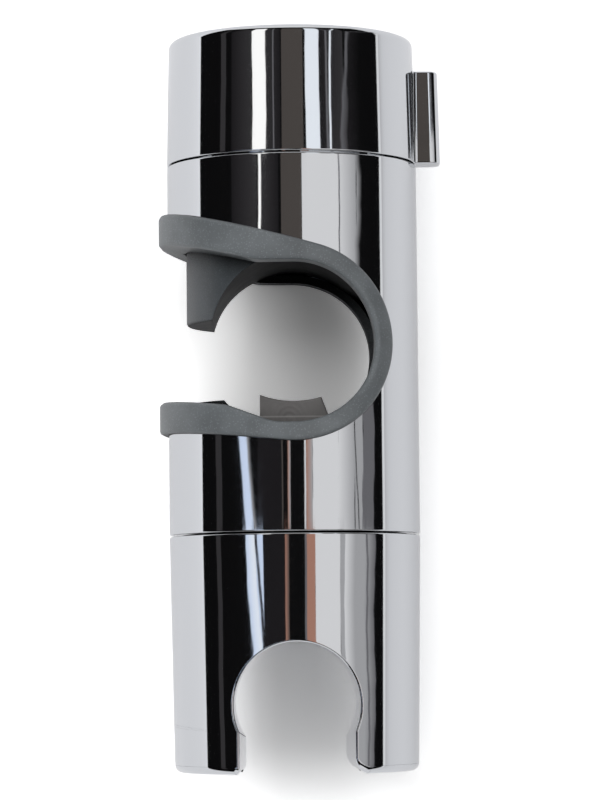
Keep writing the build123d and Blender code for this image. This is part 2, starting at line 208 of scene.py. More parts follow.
# The material of each slot in the record
SLOTS = {"chrome_shell": "chrome_plated_moulding", "liner_plastic": "blue_grey_moulded_liner",
         "jaw_plastic": "dark_grey_moulded_jaw", "pad_plastic": "brown_grey_moulded_pad",
         "white_acetal": "natural_moulded_acetal", "plain_steel": "drawn_steel",
         "insert_brass": "turned_brass", "black_rubber": "moulded_black_rubber"}


def linear(hex_colour):
    """Linear colour of an sRGB colour written as a hex number, as a tuple with alpha."""
    parts = [(hex_colour >> shift & 255) / 255 for shift in (16, 8, 0)]
    return tuple(c / 12.92 if c <= 0.04045 else ((c + 0.055) / 1.055) ** 2.4 for c in parts) + (1.0,)


# Properties

def colour_setting(name, description, hex_colour):
    """Colour property whose default is an sRGB colour written as a hex number."""
    return bpy.props.FloatVectorProperty(name=name, description=description, subtype="COLOR", size=4,
                                         min=0, max=1, default=linear(hex_colour))


def value_setting(name, description, low, high, default, subtype="NONE"):
    """Number property between two limits."""
    return bpy.props.FloatProperty(name=name, description=description, subtype=subtype,
                                   min=low, max=high, default=default)


class ChromeSettings(bpy.types.PropertyGroup):
    colour: colour_setting("Plate colour", "Reflectance of the chrome plate", 0xCDCFD2)
    roughness: value_setting("Roughness", "Roughness of the polished plate", 0, 1, 0.035)
    ripple: value_setting("Ripple", "Depth of the slow ripple of the moulding under the plate",
                          0, 0.001, 0.00002, "DISTANCE")


class PlasticSettings(bpy.types.PropertyGroup):
    liner: colour_setting("Liner colour", "Colour of the rail liner", 0x6E7376)
    jaw: colour_setting("Jaw colour", "Colour of the clamp jaw", 0x464B4F)
    pad: colour_setting("Pad colour", "Colour of the rail pad", 0x737170)
    grain: value_setting("Grain", "Depth of the moulded grain", 0, 0.001, 0.000012, "DISTANCE")


class SpringSettings(bpy.types.PropertyGroup):
    turns: value_setting("Turns", "Turns of each pad spring", 2, 12, 5.0)
    coil_radius: value_setting("Coil radius", "Radius of the coil's centre line",
                               0.001, 0.004, 0.002, "DISTANCE")
    wire_radius: value_setting("Wire radius", "Radius of the spring's wire",
                               0.0001, 0.001, 0.0003, "DISTANCE")


class StageSettings(bpy.types.PropertyGroup):
    camera_height: value_setting("Camera height", "Height of the camera above the rail bore's middle",
                                 0.2, 2, 0.5984, "DISTANCE")
    lens: value_setting("Lens", "Focal length in millimetres", 35, 400, 168.5)
    key_power: value_setting("Key power", "Power of the key lamp", 0, 200, 1.9, "POWER")
    fill_power: value_setting("Fill power", "Power of the fill lamp", 0, 200, 0.6, "POWER")
    world_level: value_setting("World level", "Strength of the world's soft light", 0, 2, 0.62)


class SliderSettings(bpy.types.PropertyGroup):
    chrome: bpy.props.PointerProperty(type=ChromeSettings)
    plastic: bpy.props.PointerProperty(type=PlasticSettings)
    spring: bpy.props.PointerProperty(type=SpringSettings)
    stage: bpy.props.PointerProperty(type=StageSettings)


def settings():
    """The scene's settings for this part."""
    return bpy.context.scene.shower_rail_slider


# Node helpers

def add(tree, kind, inputs=None, **values):
    """Adds a node, sets its own values, and fills or links its inputs."""
    node = tree.nodes.new(kind)
    for name, value in values.items():
        setattr(node, name, value)
    for name, value in (inputs or {}).items():
        if isinstance(value, bpy.types.NodeSocket):
            tree.links.new(value, node.inputs[name])
        else:
            node.inputs[name].default_value = value
    return node


def made(tree, kind, inputs=None, **values):
    """First output of a new node."""
    return add(tree, kind, inputs, **values).outputs[0]


def calc(tree, operation, *values):
    """Result of a math node on numbers or sockets."""
    return made(tree, "ShaderNodeMath", dict(enumerate(values)), operation=operation)


def between(tree, value, low, high, first, last):
    """Value that goes from first to last while another goes from low to high."""
    return made(tree, "ShaderNodeMapRange", {"Value": value, "From Min": low, "From Max": high,
                                             "To Min": first, "To Max": last})


def bump(tree, height, distance, strength, **under):
    """Normal of a surface with these heights, over the normal under them if one is given."""
    return made(tree, "ShaderNodeBump", {"Height": height, "Distance": distance,
                                         "Strength": strength, **under})


def scaled(colour, factor, lift=0.0):
    """Colour made darker or lighter."""
    return tuple(min(c * factor + lift, 1.0) for c in colour[:3]) + (1.0,)


def grey(level):
    """Grey of this level."""
    return (level, level, level, 1.0)


def new_material(name):
    """An empty node material with its output, and its tree."""
    material = bpy.data.materials.new(name)
    material.use_nodes = True
    tree = material.node_tree
    tree.nodes.clear()
    return material, tree


def ramp(tree, factor, *stops):
    """Colour ramp with stops given as (position, linear colour)."""
    node = add(tree, "ShaderNodeValToRGB", {"Fac": factor})
    elements = node.color_ramp.elements
    while len(elements) < len(stops):
        elements.new(0.5)
    for element, (position, colour) in zip(elements, stops):
        element.position = position
        element.color = colour
    return node.outputs["Color"]


def noise(tree, vector, scale, detail):
    """Noise value on a vector."""
    return made(tree, "ShaderNodeTexNoise", {"Vector": vector, "Scale": scale, "Detail": detail})


def object_vector(tree, scale=(1, 1, 1)):
    """Object coordinates, stretched by a scale."""
    place = add(tree, "ShaderNodeTexCoord").outputs["Object"]
    return made(tree, "ShaderNodeMapping", {"Vector": place, "Scale": scale})


def mix_colour(tree, factor, first, second):
    """Mixes two colours, each a socket or a value."""
    return add(tree, "ShaderNodeMix", {0: factor, 6: first, 7: second}, data_type="RGBA").outputs[2]


def mix_shader(tree, factor, first, second):
    """Mixes two shaders."""
    return made(tree, "ShaderNodeMixShader", {0: factor, 1: first, 2: second})


def finish_material(material, tree, shader):
    """Links the shader to the output."""
    add(tree, "ShaderNodeOutputMaterial", {"Surface": shader})
    return material


def surface(material, tree, colour, roughness, normal, metallic=0.0, sheen=0.5):
    """Ends a material with a surface of this colour, roughness and normal."""
    shader = made(tree, "ShaderNodeBsdfPrincipled",
                  {"Base Color": colour, "Metallic": metallic, "Roughness": roughness,
                   "Specular IOR Level": sheen, "Normal": normal})
    return finish_material(material, tree, shader)


# Materials

def chrome_plate():
    """Chrome plate on moulded plastic: a mirror with the moulding's slow ripple and a faint haze."""
    chrome = settings().chrome
    material, tree = new_material("chrome_plated_moulding")
    slow = noise(tree, object_vector(tree, RIPPLE_CELLS), 1.0, detail=1.0)
    fine = noise(tree, object_vector(tree), HAZE_CELLS, detail=3.0)
    haze = between(tree, fine, 0.3, 0.7, chrome.roughness, chrome.roughness * 1.6)
    ripple = bump(tree, slow, chrome.ripple, 1.0)
    return surface(material, tree, tuple(chrome.colour), haze, ripple, metallic=1.0)


def openness(tree, reach):
    """How open a place is: 1 on outer faces, near 0 where walls nearer than the reach shut it in; it sets
    where shade is painted.
    """
    shelter = add(tree, "ShaderNodeAmbientOcclusion", {"Distance": reach}, samples=8)
    return between(tree, shelter.outputs["AO"], 0.55, 0.92, 0.02, 1.0)


def parting_line(tree, base, pale):
    """The pale flash line across the pad's faces, at PAD_PARTING_X along the slider."""
    across = made(tree, "ShaderNodeSeparateXYZ", {0: object_vector(tree)})
    offset = calc(tree, "ABSOLUTE", calc(tree, "SUBTRACT", across, PAD_PARTING_X * MM))
    return mix_colour(tree, between(tree, offset, 0.00005, 0.00018, 0.6, 0.0), base, pale)


def gate_ripples(tree):
    """Heights of the flow rings that spread from the pad's gate."""
    spot = add(tree, "ShaderNodeVectorMath", {0: object_vector(tree), 1: [v * MM for v in PAD_GATE]},
               operation="DISTANCE").outputs["Value"]
    wave = calc(tree, "SINE", calc(tree, "MULTIPLY", spot, RING_RADIANS))
    return calc(tree, "MULTIPLY", wave, between(tree, spot, 0.0008, 0.0045, 1.0, 0.0))


def moulded_plastic(name, colour, roughness, speckle, edge_radius, edge_highlight_level, reach=0.0, gate=False):
    """Moulded thermoplastic: fine grain, light specks, cloudy tone and a painted highlight that makes its
    edges paler.
    """
    material, tree = new_material(name)
    place = object_vector(tree)
    cloud = noise(tree, place, CLOUD_CELLS, detail=4.0)
    base = ramp(tree, cloud, (0.3, scaled(colour, 0.84)), (0.72, scaled(colour, 1.14)))
    dots = made(tree, "ShaderNodeTexVoronoi", {"Vector": place, "Scale": SPECK_CELLS})
    dot_mask = ramp(tree, dots, (0.0, grey(speckle)), (0.36, grey(0.0)))
    base = mix_colour(tree, dot_mask, base, scaled(colour, 1.9, lift=0.03))
    # Painted highlight: the colour turns paler where the bevel's rounded normal leans away from the flat one
    bevel = made(tree, "ShaderNodeBevel", {"Radius": edge_radius}, samples=4)
    flat = add(tree, "ShaderNodeNewGeometry").outputs["Normal"]
    turn = add(tree, "ShaderNodeVectorMath", {0: bevel, 1: flat}, operation="DOT_PRODUCT")
    edge_highlight_mask = ramp(tree, turn.outputs["Value"], (0.86, grey(edge_highlight_level)), (0.995, grey(0.0)))
    pale = scaled(colour, 1.8, lift=0.05)
    base = mix_colour(tree, edge_highlight_mask, base, pale)
    sheen = 0.5
    # Painted shade: where walls stand within the reach, the colour goes toward near black and the sheen is
    # dimmed
    if reach:
        share = openness(tree, reach)
        base = mix_colour(tree, share, grey(0.003), base)
        sheen = calc(tree, "MULTIPLY", share, 0.5)
    grain = noise(tree, place, GRAIN_CELLS, detail=3.0)
    normal = bump(tree, grain, settings().plastic.grain, 0.8, Normal=bevel)
    if gate:
        base = parting_line(tree, base, pale)
        normal = bump(tree, gate_ripples(tree), 0.00004, 0.7, Normal=normal)
    gloss = between(tree, cloud, 0.0, 1.0, roughness * 0.85, roughness * 1.15)
    return surface(material, tree, base, gloss, normal, sheen=sheen)


def turned_metal(name, colour, roughness):
    """Turned or drawn metal with fine rings round the cylinder's axis."""
    material, tree = new_material(name)
    rings = noise(tree, object_vector(tree, LATHE_CELLS), 1.0, detail=3.0)
    tone = ramp(tree, rings, (0.3, scaled(colour, 0.8)), (0.7, colour))
    return surface(material, tree, tone, roughness, bump(tree, rings, 0.000004, 0.6), metallic=1.0)


def moulded_rubber():
    """Black moulded rubber with a dusty bloom."""
    material, tree = new_material("moulded_black_rubber")
    bloom = noise(tree, object_vector(tree), BLOOM_CELLS, detail=5.0)
    tone = ramp(tree, bloom, (0.35, linear(0x1A1A1A)), (0.75, linear(0x2C2C2C)))
    return surface(material, tree, tone, 0.75, bump(tree, bloom, 0.00001, 0.5))


# Mesh building

def unit(vectors):
    """Vectors scaled to length one, with zero vectors left alone."""
    length = np.linalg.norm(vectors, axis=-1, keepdims=True)
    return vectors / np.where(length > 1e-9, length, 1.0)


def round_axis(x, radius, angles):
    """Points at places along X, at a radius and at angles from +Z towards +Y."""
    return np.stack(np.broadcast_arrays(x, radius * np.sin(angles), radius * np.cos(angles)), axis=-1)


class Skin:
    """Collects quad grids with their own normals, and makes one merged mesh of them.

    While flipped is set, what is added goes to the underside instead.
    """

    def __init__(self):
        self.points = []
        self.normals = []
        self.faces = []
        self.count = 0
        self.flipped = False

    def grid(self, points, normals):
        """Adds a grid of points (rows, columns, 3), in millimetres, with normals that broadcast to it."""
        rows, columns = points.shape[:2]
        index = np.arange(rows * columns).reshape(rows, columns) + self.count
        faces = np.stack([index[:-1, :-1], index[:-1, 1:], index[1:, 1:], index[1:, :-1]], axis=-1)
        side = (1, 1, -1) if self.flipped else (1, 1, 1)
        self.points.append(points.reshape(-1, 3) * side)
        self.normals.append(np.broadcast_to(normals, points.shape).reshape(-1, 3) * side)
        self.faces.append(faces.reshape(-1, 4))
        self.count += rows * columns

    def wheel(self, profile, angles):
        """Adds a profile turned about X. Profile: (x, radius, normal x, normal radius)."""
        x, radius, normal_x, normal_radius = np.asarray(profile, float).T[:, :, None]
        points = round_axis(x, radius, angles)
        self.grid(points, unit(round_axis(normal_x, normal_radius, angles)))
        return points

    def mesh(self, name):
        """The merged mesh, in metres, with the collected normals on its corners."""
        points = np.concatenate(self.points)
        normals = np.concatenate(self.normals)
        faces = np.concatenate(self.faces)
        corners = points[faces]
        across = np.cross(corners[:, 2] - corners[:, 0], corners[:, 3] - corners[:, 1])
        turned = (across * normals[faces].mean(axis=1)).sum(axis=1) < 0
        faces[turned] = faces[turned][:, ::-1]
        keys, where = np.unique(np.round(points, MERGE_DIGITS), axis=0, return_inverse=True)
        where = where.reshape(-1)
        polygons = []
        corner_normals = []
        for face in faces:
            kept = [i for k, i in enumerate(face) if where[i] != where[face[k - 1]]]
            if len(kept) > 2 and len({where[i] for i in kept}) == len(kept):
                polygons.append([int(where[i]) for i in kept])
                corner_normals.extend(normals[i] for i in kept)
        mesh = bpy.data.meshes.new(name)
        mesh.from_pydata((keys * MM).tolist(), [], polygons)
        mesh.polygons.foreach_set("use_smooth", [True] * len(polygons))
        mesh.normals_split_custom_set([tuple(n) for n in corner_normals])
        mesh.update()
        return mesh


def arc_profile(centre_x, centre_r, radius, start, end, steps):
    """Profile points on an arc in the (x, radius) plane, with its normals."""
    turns = np.linspace(math.radians(start), math.radians(end), steps)
    return [(centre_x + radius * math.cos(t), centre_r + radius * math.sin(t), math.cos(t), math.sin(t))
            for t in turns]


def edge_round(points, wall, surface, sizes):
    """Strip that rounds the edge between a wall and a surface, from the wall to the surface."""
    dot = np.clip((wall * surface).sum(axis=-1, keepdims=True), -0.95, 1.0)
    centre = points - sizes[:, None] * (wall + surface) / (1 + dot)
    turns = np.linspace(0, 1, ROUND_STEPS) * math.pi / 2
    normals = np.stack([unit(wall * math.cos(turn) + surface * math.sin(turn)) for turn in turns])
    return centre[None] + sizes[None, :, None] * normals, normals


def spread(loop, centre, radius, ends, turn, rows, pinned=False):
    """Rows of places (x, angle) on a cylinder, from a loop out to the borders of a wall.

    They run straight away from the centre, to one of the ends in x or through the turn to a side.
    Pinned, the loop's own two ends stay where they are.
    """
    lines = loop - centre
    lines[:, 1] *= radius
    room = np.where(lines[:, 0] > 0, ends[1] - centre[0], centre[0] - ends[0])
    reach_x = room / np.maximum(np.abs(lines[:, 0]), 1e-6)
    reach_y = turn * radius / np.maximum(np.abs(lines[:, 1]), 1e-6)
    border = lines * np.minimum(reach_x, reach_y)[:, None]
    border[:, 1] /= radius
    border += centre
    if pinned:
        border[0], border[-1] = loop[0], loop[-1]
    share = np.linspace(0, 1, rows)[:, None, None]
    return loop * (1 - share) + border * share


def make_object(name, mesh, material):
    """Object at the origin with one material."""
    piece = bpy.data.objects.new(name, mesh)
    bpy.context.scene.collection.objects.link(piece)
    mesh.materials.clear()
    mesh.materials.append(material)
    return piece


def make_piece(mesh, node, body, slot):
    """Object of a mesh that rides a body, stands for a CAD node and has a slot's material."""
    piece = make_object(mesh.name, mesh, bpy.data.materials[SLOTS[slot]])
    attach(piece, body)
    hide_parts(node)
    return piece


# Outlines in the plane seen from above

def arc_points(centre, radius, start, end, steps):
    """Points and outward normals on an arc, angles in degrees from +X towards +Y."""
    turns = np.radians(np.linspace(start, end, steps))
    out = np.stack([np.cos(turns), np.sin(turns)], axis=-1)
    return np.asarray(centre) + radius * out, out


def run_points(start, end, steps, normal):
    """Points along a straight run, without its last point."""
    share = np.linspace(0, 1, steps, endpoint=False)[:, None]
    points = np.asarray(start) * (1 - share) + np.asarray(end) * share
    return points, np.broadcast_to(np.asarray(normal, float), points.shape)


def join_runs(*runs):
    """Joins runs of points with their normals."""
    return np.concatenate([r[0] for r in runs]), np.concatenate([r[1] for r in runs])


def corner_run(start, side, turn, radius, spacing):
    """Points and normals round a corner that turns by an angle, from where the run before it stops."""
    sign = math.copysign(1, turn)
    centre = start + side * sign * radius
    steps = max(int(abs(turn) * radius / spacing), 3)
    normals = []
    for share in np.linspace(0, 1, steps, endpoint=False):
        c, s = math.cos(turn * share), math.sin(turn * share)
        normals.append((side[0] * c - side[1] * s, side[0] * s + side[1] * c))
    return centre - np.array(normals) * sign * radius, normals


def rounded_path(corners, radii, spacing):
    """Points along a path whose inner corners are rounded, with unit normals to the left."""
    corners = [np.asarray(corner, float) for corner in corners]
    runs = []
    start = corners[0]
    for here, onward, radius in zip(corners[1:], corners[2:] + [None], [*radii, 0]):
        along = (here - start) / np.linalg.norm(here - start)
        side = np.array([-along[1], along[0]])
        cut = 0
        if onward is not None:
            ahead = (onward - here) / np.linalg.norm(onward - here)
            turn = math.atan2(along[0] * ahead[1] - along[1] * ahead[0], along @ ahead)
            cut = radius * math.tan(abs(turn) / 2)
        stop = here - along * cut
        steps = max(int(np.linalg.norm(stop - start) / spacing), 1)
        share = np.linspace(0, 1, steps, endpoint=False)[:, None]
        runs.append((start + (stop - start) * share, [side] * steps))
        if onward is not None:
            runs.append(corner_run(stop, side, turn, radius, spacing))
            start = here + ahead * cut
    return join_runs(*runs, (corners[-1:], [side]))


def path_length(points):
    """Distance along a path at each of its points."""
    return np.concatenate([[0], np.cumsum(np.linalg.norm(np.diff(points, axis=0), axis=1))])


def mouth_path(spacing=0.4):
    """The bore's outline from the lower arm's end round the bore to the upper arm's end."""
    reach = FLANGE_OUTER
    lip = -BORE_RADIUS + LIP_RISE
    low_end = (lip + (reach - LIP_CORNER) * math.tan(math.radians(LIP_ANGLE)), reach)
    top_end = (BORE_RADIUS + (reach - MOUTH_CORNER) * math.tan(math.radians(MOUTH_ANGLE)), reach)
    lower = rounded_path([low_end, (lip, LIP_CORNER), (-BORE_RADIUS, LIP_START), (-BORE_RADIUS, 0)],
                         [LIP_CORNER_ROUND, LIP_START_ROUND], spacing)
    upper = rounded_path([(BORE_RADIUS, 0), (BORE_RADIUS, MOUTH_CORNER), top_end], [MOUTH_ROUND], spacing)
    steps = int(math.pi * BORE_RADIUS / spacing)
    turns = np.linspace(math.pi, 2 * math.pi, steps + 1)[1:-1]
    out = np.stack([np.cos(turns), np.sin(turns)], axis=-1)
    points = np.concatenate([lower[0], out * BORE_RADIUS, upper[0]])
    normals = np.concatenate([lower[1], -out, upper[1]])
    return points, normals


def flange_path(points):
    """The flange's outer outline, one point for each point of the bore's outline."""
    radius = BORE_RADIUS + FLANGE_MARGIN
    top, bottom = math.radians(FLANGE_TOP_ANGLE), math.radians(FLANGE_BOTTOM_ANGLE)
    top_start = np.array([radius * math.cos(top), -radius * math.sin(top)])
    low_start = np.array([-radius * math.cos(bottom), radius * math.sin(bottom)])
    top_along = np.array([math.sin(top), math.cos(top)])
    low_along = np.array([math.sin(bottom), math.cos(bottom)])
    top_run = (FLANGE_OUTER - top_start[1]) / top_along[1]
    low_run = (FLANGE_OUTER - low_start[1]) / low_along[1]
    bend = radius * (math.pi + bottom - top)
    length = path_length(points)
    lower_arm = points[:, 0] < 0
    inner_low = length[np.argmin(np.abs(points[:, 1] - low_start[1]) + ~lower_arm * FAR)]
    inner_top = length[np.argmin(np.abs(points[:, 1] - top_start[1]) + lower_arm * FAR)]
    marks = [0, inner_low, inner_top, length[-1]]
    place = np.interp(length, marks, [0, low_run, low_run + bend, low_run + bend + top_run])
    out, normals = [], []
    for value in place:
        if value < low_run:
            out.append(low_start + low_along * (low_run - value))
            normals.append((-low_along[1], low_along[0]))
        elif value > low_run + bend:
            out.append(top_start + top_along * (value - low_run - bend))
            normals.append((top_along[1], -top_along[0]))
        else:
            angle = math.pi - bottom + (value - low_run) / radius
            normals.append((math.cos(angle), math.sin(angle)))
            out.append(np.array(normals[-1]) * radius)
    return np.array(out), np.array(normals)


def on_tube(flat, radius):
    """Points lifted from the plane onto a cylinder, with their heights."""
    height = np.sqrt(np.maximum(radius ** 2 - flat[..., 1] ** 2, 0))
    return np.concatenate([flat, height[..., None]], axis=-1)


def tube_normals(points):
    """Outward normals of a cylinder about X at these points."""
    normals = points.copy()
    normals[..., 0] = 0
    return unit(normals)


def level(flat):
    """Vectors in the plane seen from above, as vectors in space."""
    return np.column_stack([flat, np.zeros(len(flat))])


# Pieces

def add_liner(skin):
    """Adds one side of the liner, each column of its points on one point of the bore's outline."""
    inner, inward = mouth_path()
    outer, outward = flange_path(inner)
    wall_in, wall_out = level(inward), level(outward)
    rounded = []
    for outline, wall in ((inner, wall_in), (outer, wall_out)):
        edge = on_tube(outline, FLANGE_OUTER)
        strip, normals = edge_round(edge, wall, tube_normals(edge), np.full(len(inner), FLANGE_ROUND))
        skin.grid(strip, normals)
        rounded.append(strip)
    strip_in, strip_out = rounded
    start, end = strip_in[-1], strip_out[-1]
    rows = [start[:, :2] + (end[:, :2] - start[:, :2]) * share for share in np.linspace(0, 1, FACE_ROWS)]
    face = on_tube(np.stack(rows), FLANGE_OUTER)
    face[0], face[-1] = start, end
    skin.grid(face, tube_normals(face))
    depths = np.linspace(FLANGE_OUTER - FLANGE_ROUND, WEB_BORE, WEB_ROWS)
    line = strip_in[0][:, :2]
    skin.grid(np.stack([strip_in[0]] + [on_tube(line, depth) for depth in depths[1:]]), wall_in)
    foot = on_tube(strip_out[0][:, :2], FLANGE_SEAT)
    skin.grid(np.stack([strip_out[0], foot]), wall_out)
    back = inner - inward * WEB_THICKNESS
    back[:, 1] = np.minimum(back[:, 1], FLANGE_OUTER)
    web_top, web_end = on_tube(back, FLANGE_SEAT), on_tube(back, WEB_BORE)
    under = np.stack([foot, web_top])
    skin.grid(under, -tube_normals(under))
    skin.grid(np.stack([web_top, web_end]), -wall_in)
    web_foot = np.stack([web_end, on_tube(line, WEB_BORE)])
    skin.grid(web_foot, -tube_normals(web_foot))


class SLIDER_OT_rail_liner(bpy.types.Operator):
    """Builds the C-shaped liner with its rounded flange"""
    bl_idname = "slider.rail_liner"
    bl_label = "Rail Liner"

    def execute(self, context):
        skin = Skin()
        add_liner(skin)
        skin.flipped = True
        add_liner(skin)
        piece = make_piece(skin.mesh("rail_liner_moulding"), "rail_liner", "body", "liner_plastic")
        piece.data.set_sharp_from_angle(angle=math.radians(SHARP_ANGLE))
        return {"FINISHED"}


def mouth_hole(spacing=0.5):
    """Edge of the mouth cut in the tube, seen from above, with the wall's normals to the opening.

    The points lie evenly on the tube's outer and inner wall, also where these turn down at the sides.
    """
    flat, inward = mouth_path()
    hole = flat - inward * (WEB_THICKNESS + WEB_GAP)
    length = path_length(hole)
    marks = np.linspace(0, length[-1], OUTLINE_MARKS)
    fine = np.stack([np.interp(marks, length, column) for column in (*hole.T, *inward.T)], axis=-1)
    picked = set()
    for radius in (BODY_RADIUS, BODY_RADIUS - TUBE_WALL):
        inside = np.flatnonzero(np.abs(fine[:, 1]) <= radius)
        chart = np.stack([fine[inside, 0], radius * np.arcsin(fine[inside, 1] / radius)], axis=-1)
        along = path_length(chart)
        stops = np.linspace(0, along[-1], int(along[-1] / spacing))
        picked.update(inside[np.searchsorted(along, stops)].tolist())
    chosen = fine[sorted(picked)]
    return chosen[:, :2], unit(chosen[:, 2:])


def tube_wall(skin, radius, low, high, sign):
    """One wall of the tube, from the mouth's edge to the two ends. Sign 1 faces out, -1 in."""
    hole, _ = mouth_hole()
    hole = hole[np.abs(hole[:, 1]) <= radius]
    turns = np.arcsin(hole[:, 1] / radius)
    upper = np.stack([hole[:, 0], turns], axis=-1)
    lower = np.stack([hole[::-1, 0], math.pi - turns[::-1]], axis=-1)
    loop = np.concatenate([upper, lower, upper[:1]])
    chart = spread(loop, (MOUTH_CENTRE_X, math.pi / 2), radius, (low, high), math.pi, TUBE_ROWS)
    points = round_axis(chart[..., 0], radius, chart[..., 1])
    skin.grid(points, sign * tube_normals(points))
    return chart[-1]


def mouth_edges(skin):
    """Cut edge of the mouth through the tube's wall, above and below."""
    hole, inward = mouth_hole()
    inside = np.abs(hole[:, 1]) <= BODY_RADIUS
    edge = np.stack([on_tube(hole[inside], BODY_RADIUS), on_tube(hole[inside], BODY_RADIUS - TUBE_WALL)])
    for flipped in (False, True):
        skin.flipped = flipped
        skin.grid(edge, level(inward[inside]))
    skin.flipped = False


def neck_profile():
    """Profile of the tube's cap end, from its rim over the neck to its inner wall."""
    inner = NECK_RADIUS - NECK_WALL
    bore = BODY_RADIUS - TUBE_WALL
    top = BODY_END + NECK_LENGTH
    back = BODY_END - BULKHEAD
    return [[(BODY_END, BODY_RADIUS - SEAM_ROUND, 1, 0), (BODY_END, NECK_RADIUS, 1, 0)],
            [(BODY_END, NECK_RADIUS, 0, 1), (top, NECK_RADIUS, 0, 1)],
            [(top, NECK_RADIUS, 1, 0), (top, inner, 1, 0)],
            [(top, inner, 0, -1), (back, inner, 0, -1)],
            [(back, inner, -1, 0), (back, bore, -1, 0)]]


class SLIDER_OT_body_shell(bpy.types.Operator):
    """Builds the chromed tube with smooth walls and rounded rims"""
    bl_idname = "slider.body_shell"
    bl_label = "Body Shell"

    def execute(self, context):
        skin = Skin()
        rim = BODY_END - SEAM_ROUND
        corner = BODY_RADIUS - SEAM_ROUND
        border = tube_wall(skin, BODY_RADIUS, -rim, rim, 1)
        tube_wall(skin, BODY_RADIUS - TUBE_WALL, -BODY_END, BODY_END - BULKHEAD, -1)
        mouth_edges(skin)
        face = [(-BODY_END, corner, -1, 0), (-BODY_END, BODY_RADIUS - TUBE_WALL, -1, 0)]
        for sign, profiles in ((-1, [face]), (1, neck_profile())):
            turns = border[np.abs(border[:, 0] - sign * rim) < 1e-4][:, 1]
            turns = np.unique(np.round(np.concatenate([turns, [-math.pi / 2, 1.5 * math.pi]]), 9))
            rounding = arc_profile(sign * rim, corner, SEAM_ROUND, 90, 90 - 90 * sign, ROUND_STEPS)
            for profile in (rounding, *profiles):
                skin.wheel(profile, turns)
        make_piece(skin.mesh("body_tube_plated"), "body_shell", "body", "chrome_shell")
        return {"FINISHED"}


def tab_outline(tip):
    """Half outline of the tab across the cylinder, from the cap's wall to the tab's middle."""
    half = TAB_HALF_WIDTH
    root = TAB_ROOT_ROUND
    wall = BODY_RADIUS - TAB_EMBED
    height = math.sqrt((wall + root) ** 2 - (half + root) ** 2)
    slope = math.degrees(math.asin((half + root) / (wall + root)))
    hollow, out = arc_points((-height, half + root), root, slope, -90, steps=8)
    side = run_points((-height, half), (tip + TAB_ROUND, half), steps=4, normal=(0, 1))
    corner = arc_points((tip + TAB_ROUND, half - TAB_ROUND), TAB_ROUND, 90, 180, steps=10)
    end = run_points((tip, half - TAB_ROUND), (tip, 0), steps=6, normal=(-1, 0))
    last = (np.array([[tip, 0]]), np.array([[-1, 0]]))
    return join_runs((hollow, -out), side, corner, end, last)


def add_tab(skin):
    """Adds the thumb tab, section by section from the cap's foot to the tab's top."""
    sections = []
    foot, top = CAP_FOOT, CAP_FOOT + TAB_LENGTH
    for turn in np.radians(np.linspace(0, 90, 5)):
        x, inset = foot + SEAM_ROUND * (1 - math.cos(turn)), SEAM_ROUND * (1 - math.sin(turn))
        sections.append((x, inset, turn - math.pi / 2))
    for share in np.linspace(0, 1, FACE_ROWS)[1:-1]:
        sections.append((foot + SEAM_ROUND + (TAB_LENGTH - SEAM_ROUND - TAB_EDGE_ROUND) * share, 0.0, 0.0))
    for turn in np.radians(np.linspace(0, 90, 7)):
        x, inset = top - TAB_EDGE_ROUND * (1 - math.sin(turn)), TAB_EDGE_ROUND * (1 - math.cos(turn))
        sections.append((x, inset, turn))
    points, normals = [], []
    for x, inset, tilt in sections:
        flat, out = tab_outline(TAB_TIP + TAB_DRAFT * (x - foot) / TAB_LENGTH)
        row, row_out = (np.concatenate([half, half[-2::-1] * (1, -1)]) for half in (flat - out * inset, out))
        points.append(np.column_stack([np.full(len(row), x), row]))
        normals.append(np.column_stack([np.full(len(row), math.sin(tilt)), row_out * math.cos(tilt)]))
    points, normals = np.stack(points), np.stack(normals)
    skin.grid(points, unit(normals))
    for row, sign in ((points[0], -1), (points[-1], 1)):
        middle = row * (1, 1, TAB_FACE_SHARE)
        middle[:, 1] = -BODY_RADIUS + TAB_FACE_DEPTH
        skin.grid(np.stack([row, middle]), (sign, 0, 0))


class SLIDER_OT_lock_cap(bpy.types.Operator):
    """Builds the chromed turning cap with its thumb tab"""
    bl_idname = "slider.lock_cap"
    bl_label = "Lock Cap"

    def execute(self, context):
        skin = Skin()
        turns = np.linspace(0, 2 * math.pi, CAP_STEPS)
        lean = math.degrees(math.atan2(CAP_DRAFT, CAP_TOP - CAP_FOOT))
        slant = (math.sin(math.radians(lean)), math.cos(math.radians(lean)))
        top_radius = BODY_RADIUS - CAP_DRAFT
        foot_round = arc_profile(CAP_FOOT + SEAM_ROUND, BODY_RADIUS - SEAM_ROUND, SEAM_ROUND,
                                 180, 90, ROUND_STEPS)
        top_round = arc_profile(CAP_TOP - CAP_ROUND, top_radius - CAP_ROUND + CAP_TOP_STEP, CAP_ROUND,
                                90 - lean, 0, steps=14)
        start, end = foot_round[-1], top_round[0]
        wall = [(start[0] + (end[0] - start[0]) * share, start[1] + (end[1] - start[1]) * share) + slant
                for share in np.linspace(0, 1, 12)]
        inner = NECK_RADIUS + CAP_NECK_GAP
        rim = [(CAP_FOOT, inner, -1, 0), (CAP_FOOT, BODY_RADIUS - SEAM_ROUND, -1, 0)]
        bore = [(CAP_FOOT, inner, 0, -1), (CAP_FOOT + CAP_LIP, inner, 0, -1)]
        face = [(CAP_TOP, radius, 1, 0) for radius in np.linspace(top_round[-1][1], 0, 6)]
        for profile in (bore, rim, foot_round, wall, top_round, face):
            skin.wheel(profile, turns)
        add_tab(skin)
        make_piece(skin.mesh("lock_cap_plated"), "lock_cap", "cap", "chrome_shell")
        return {"FINISHED"}


def holder_radius(x):
    """Radius of the holder's drafted wall at a place along it."""
    return BODY_RADIUS - HOLDER_DRAFT * (HOLDER_FACE - x) / (HOLDER_FACE - HOLDER_END)


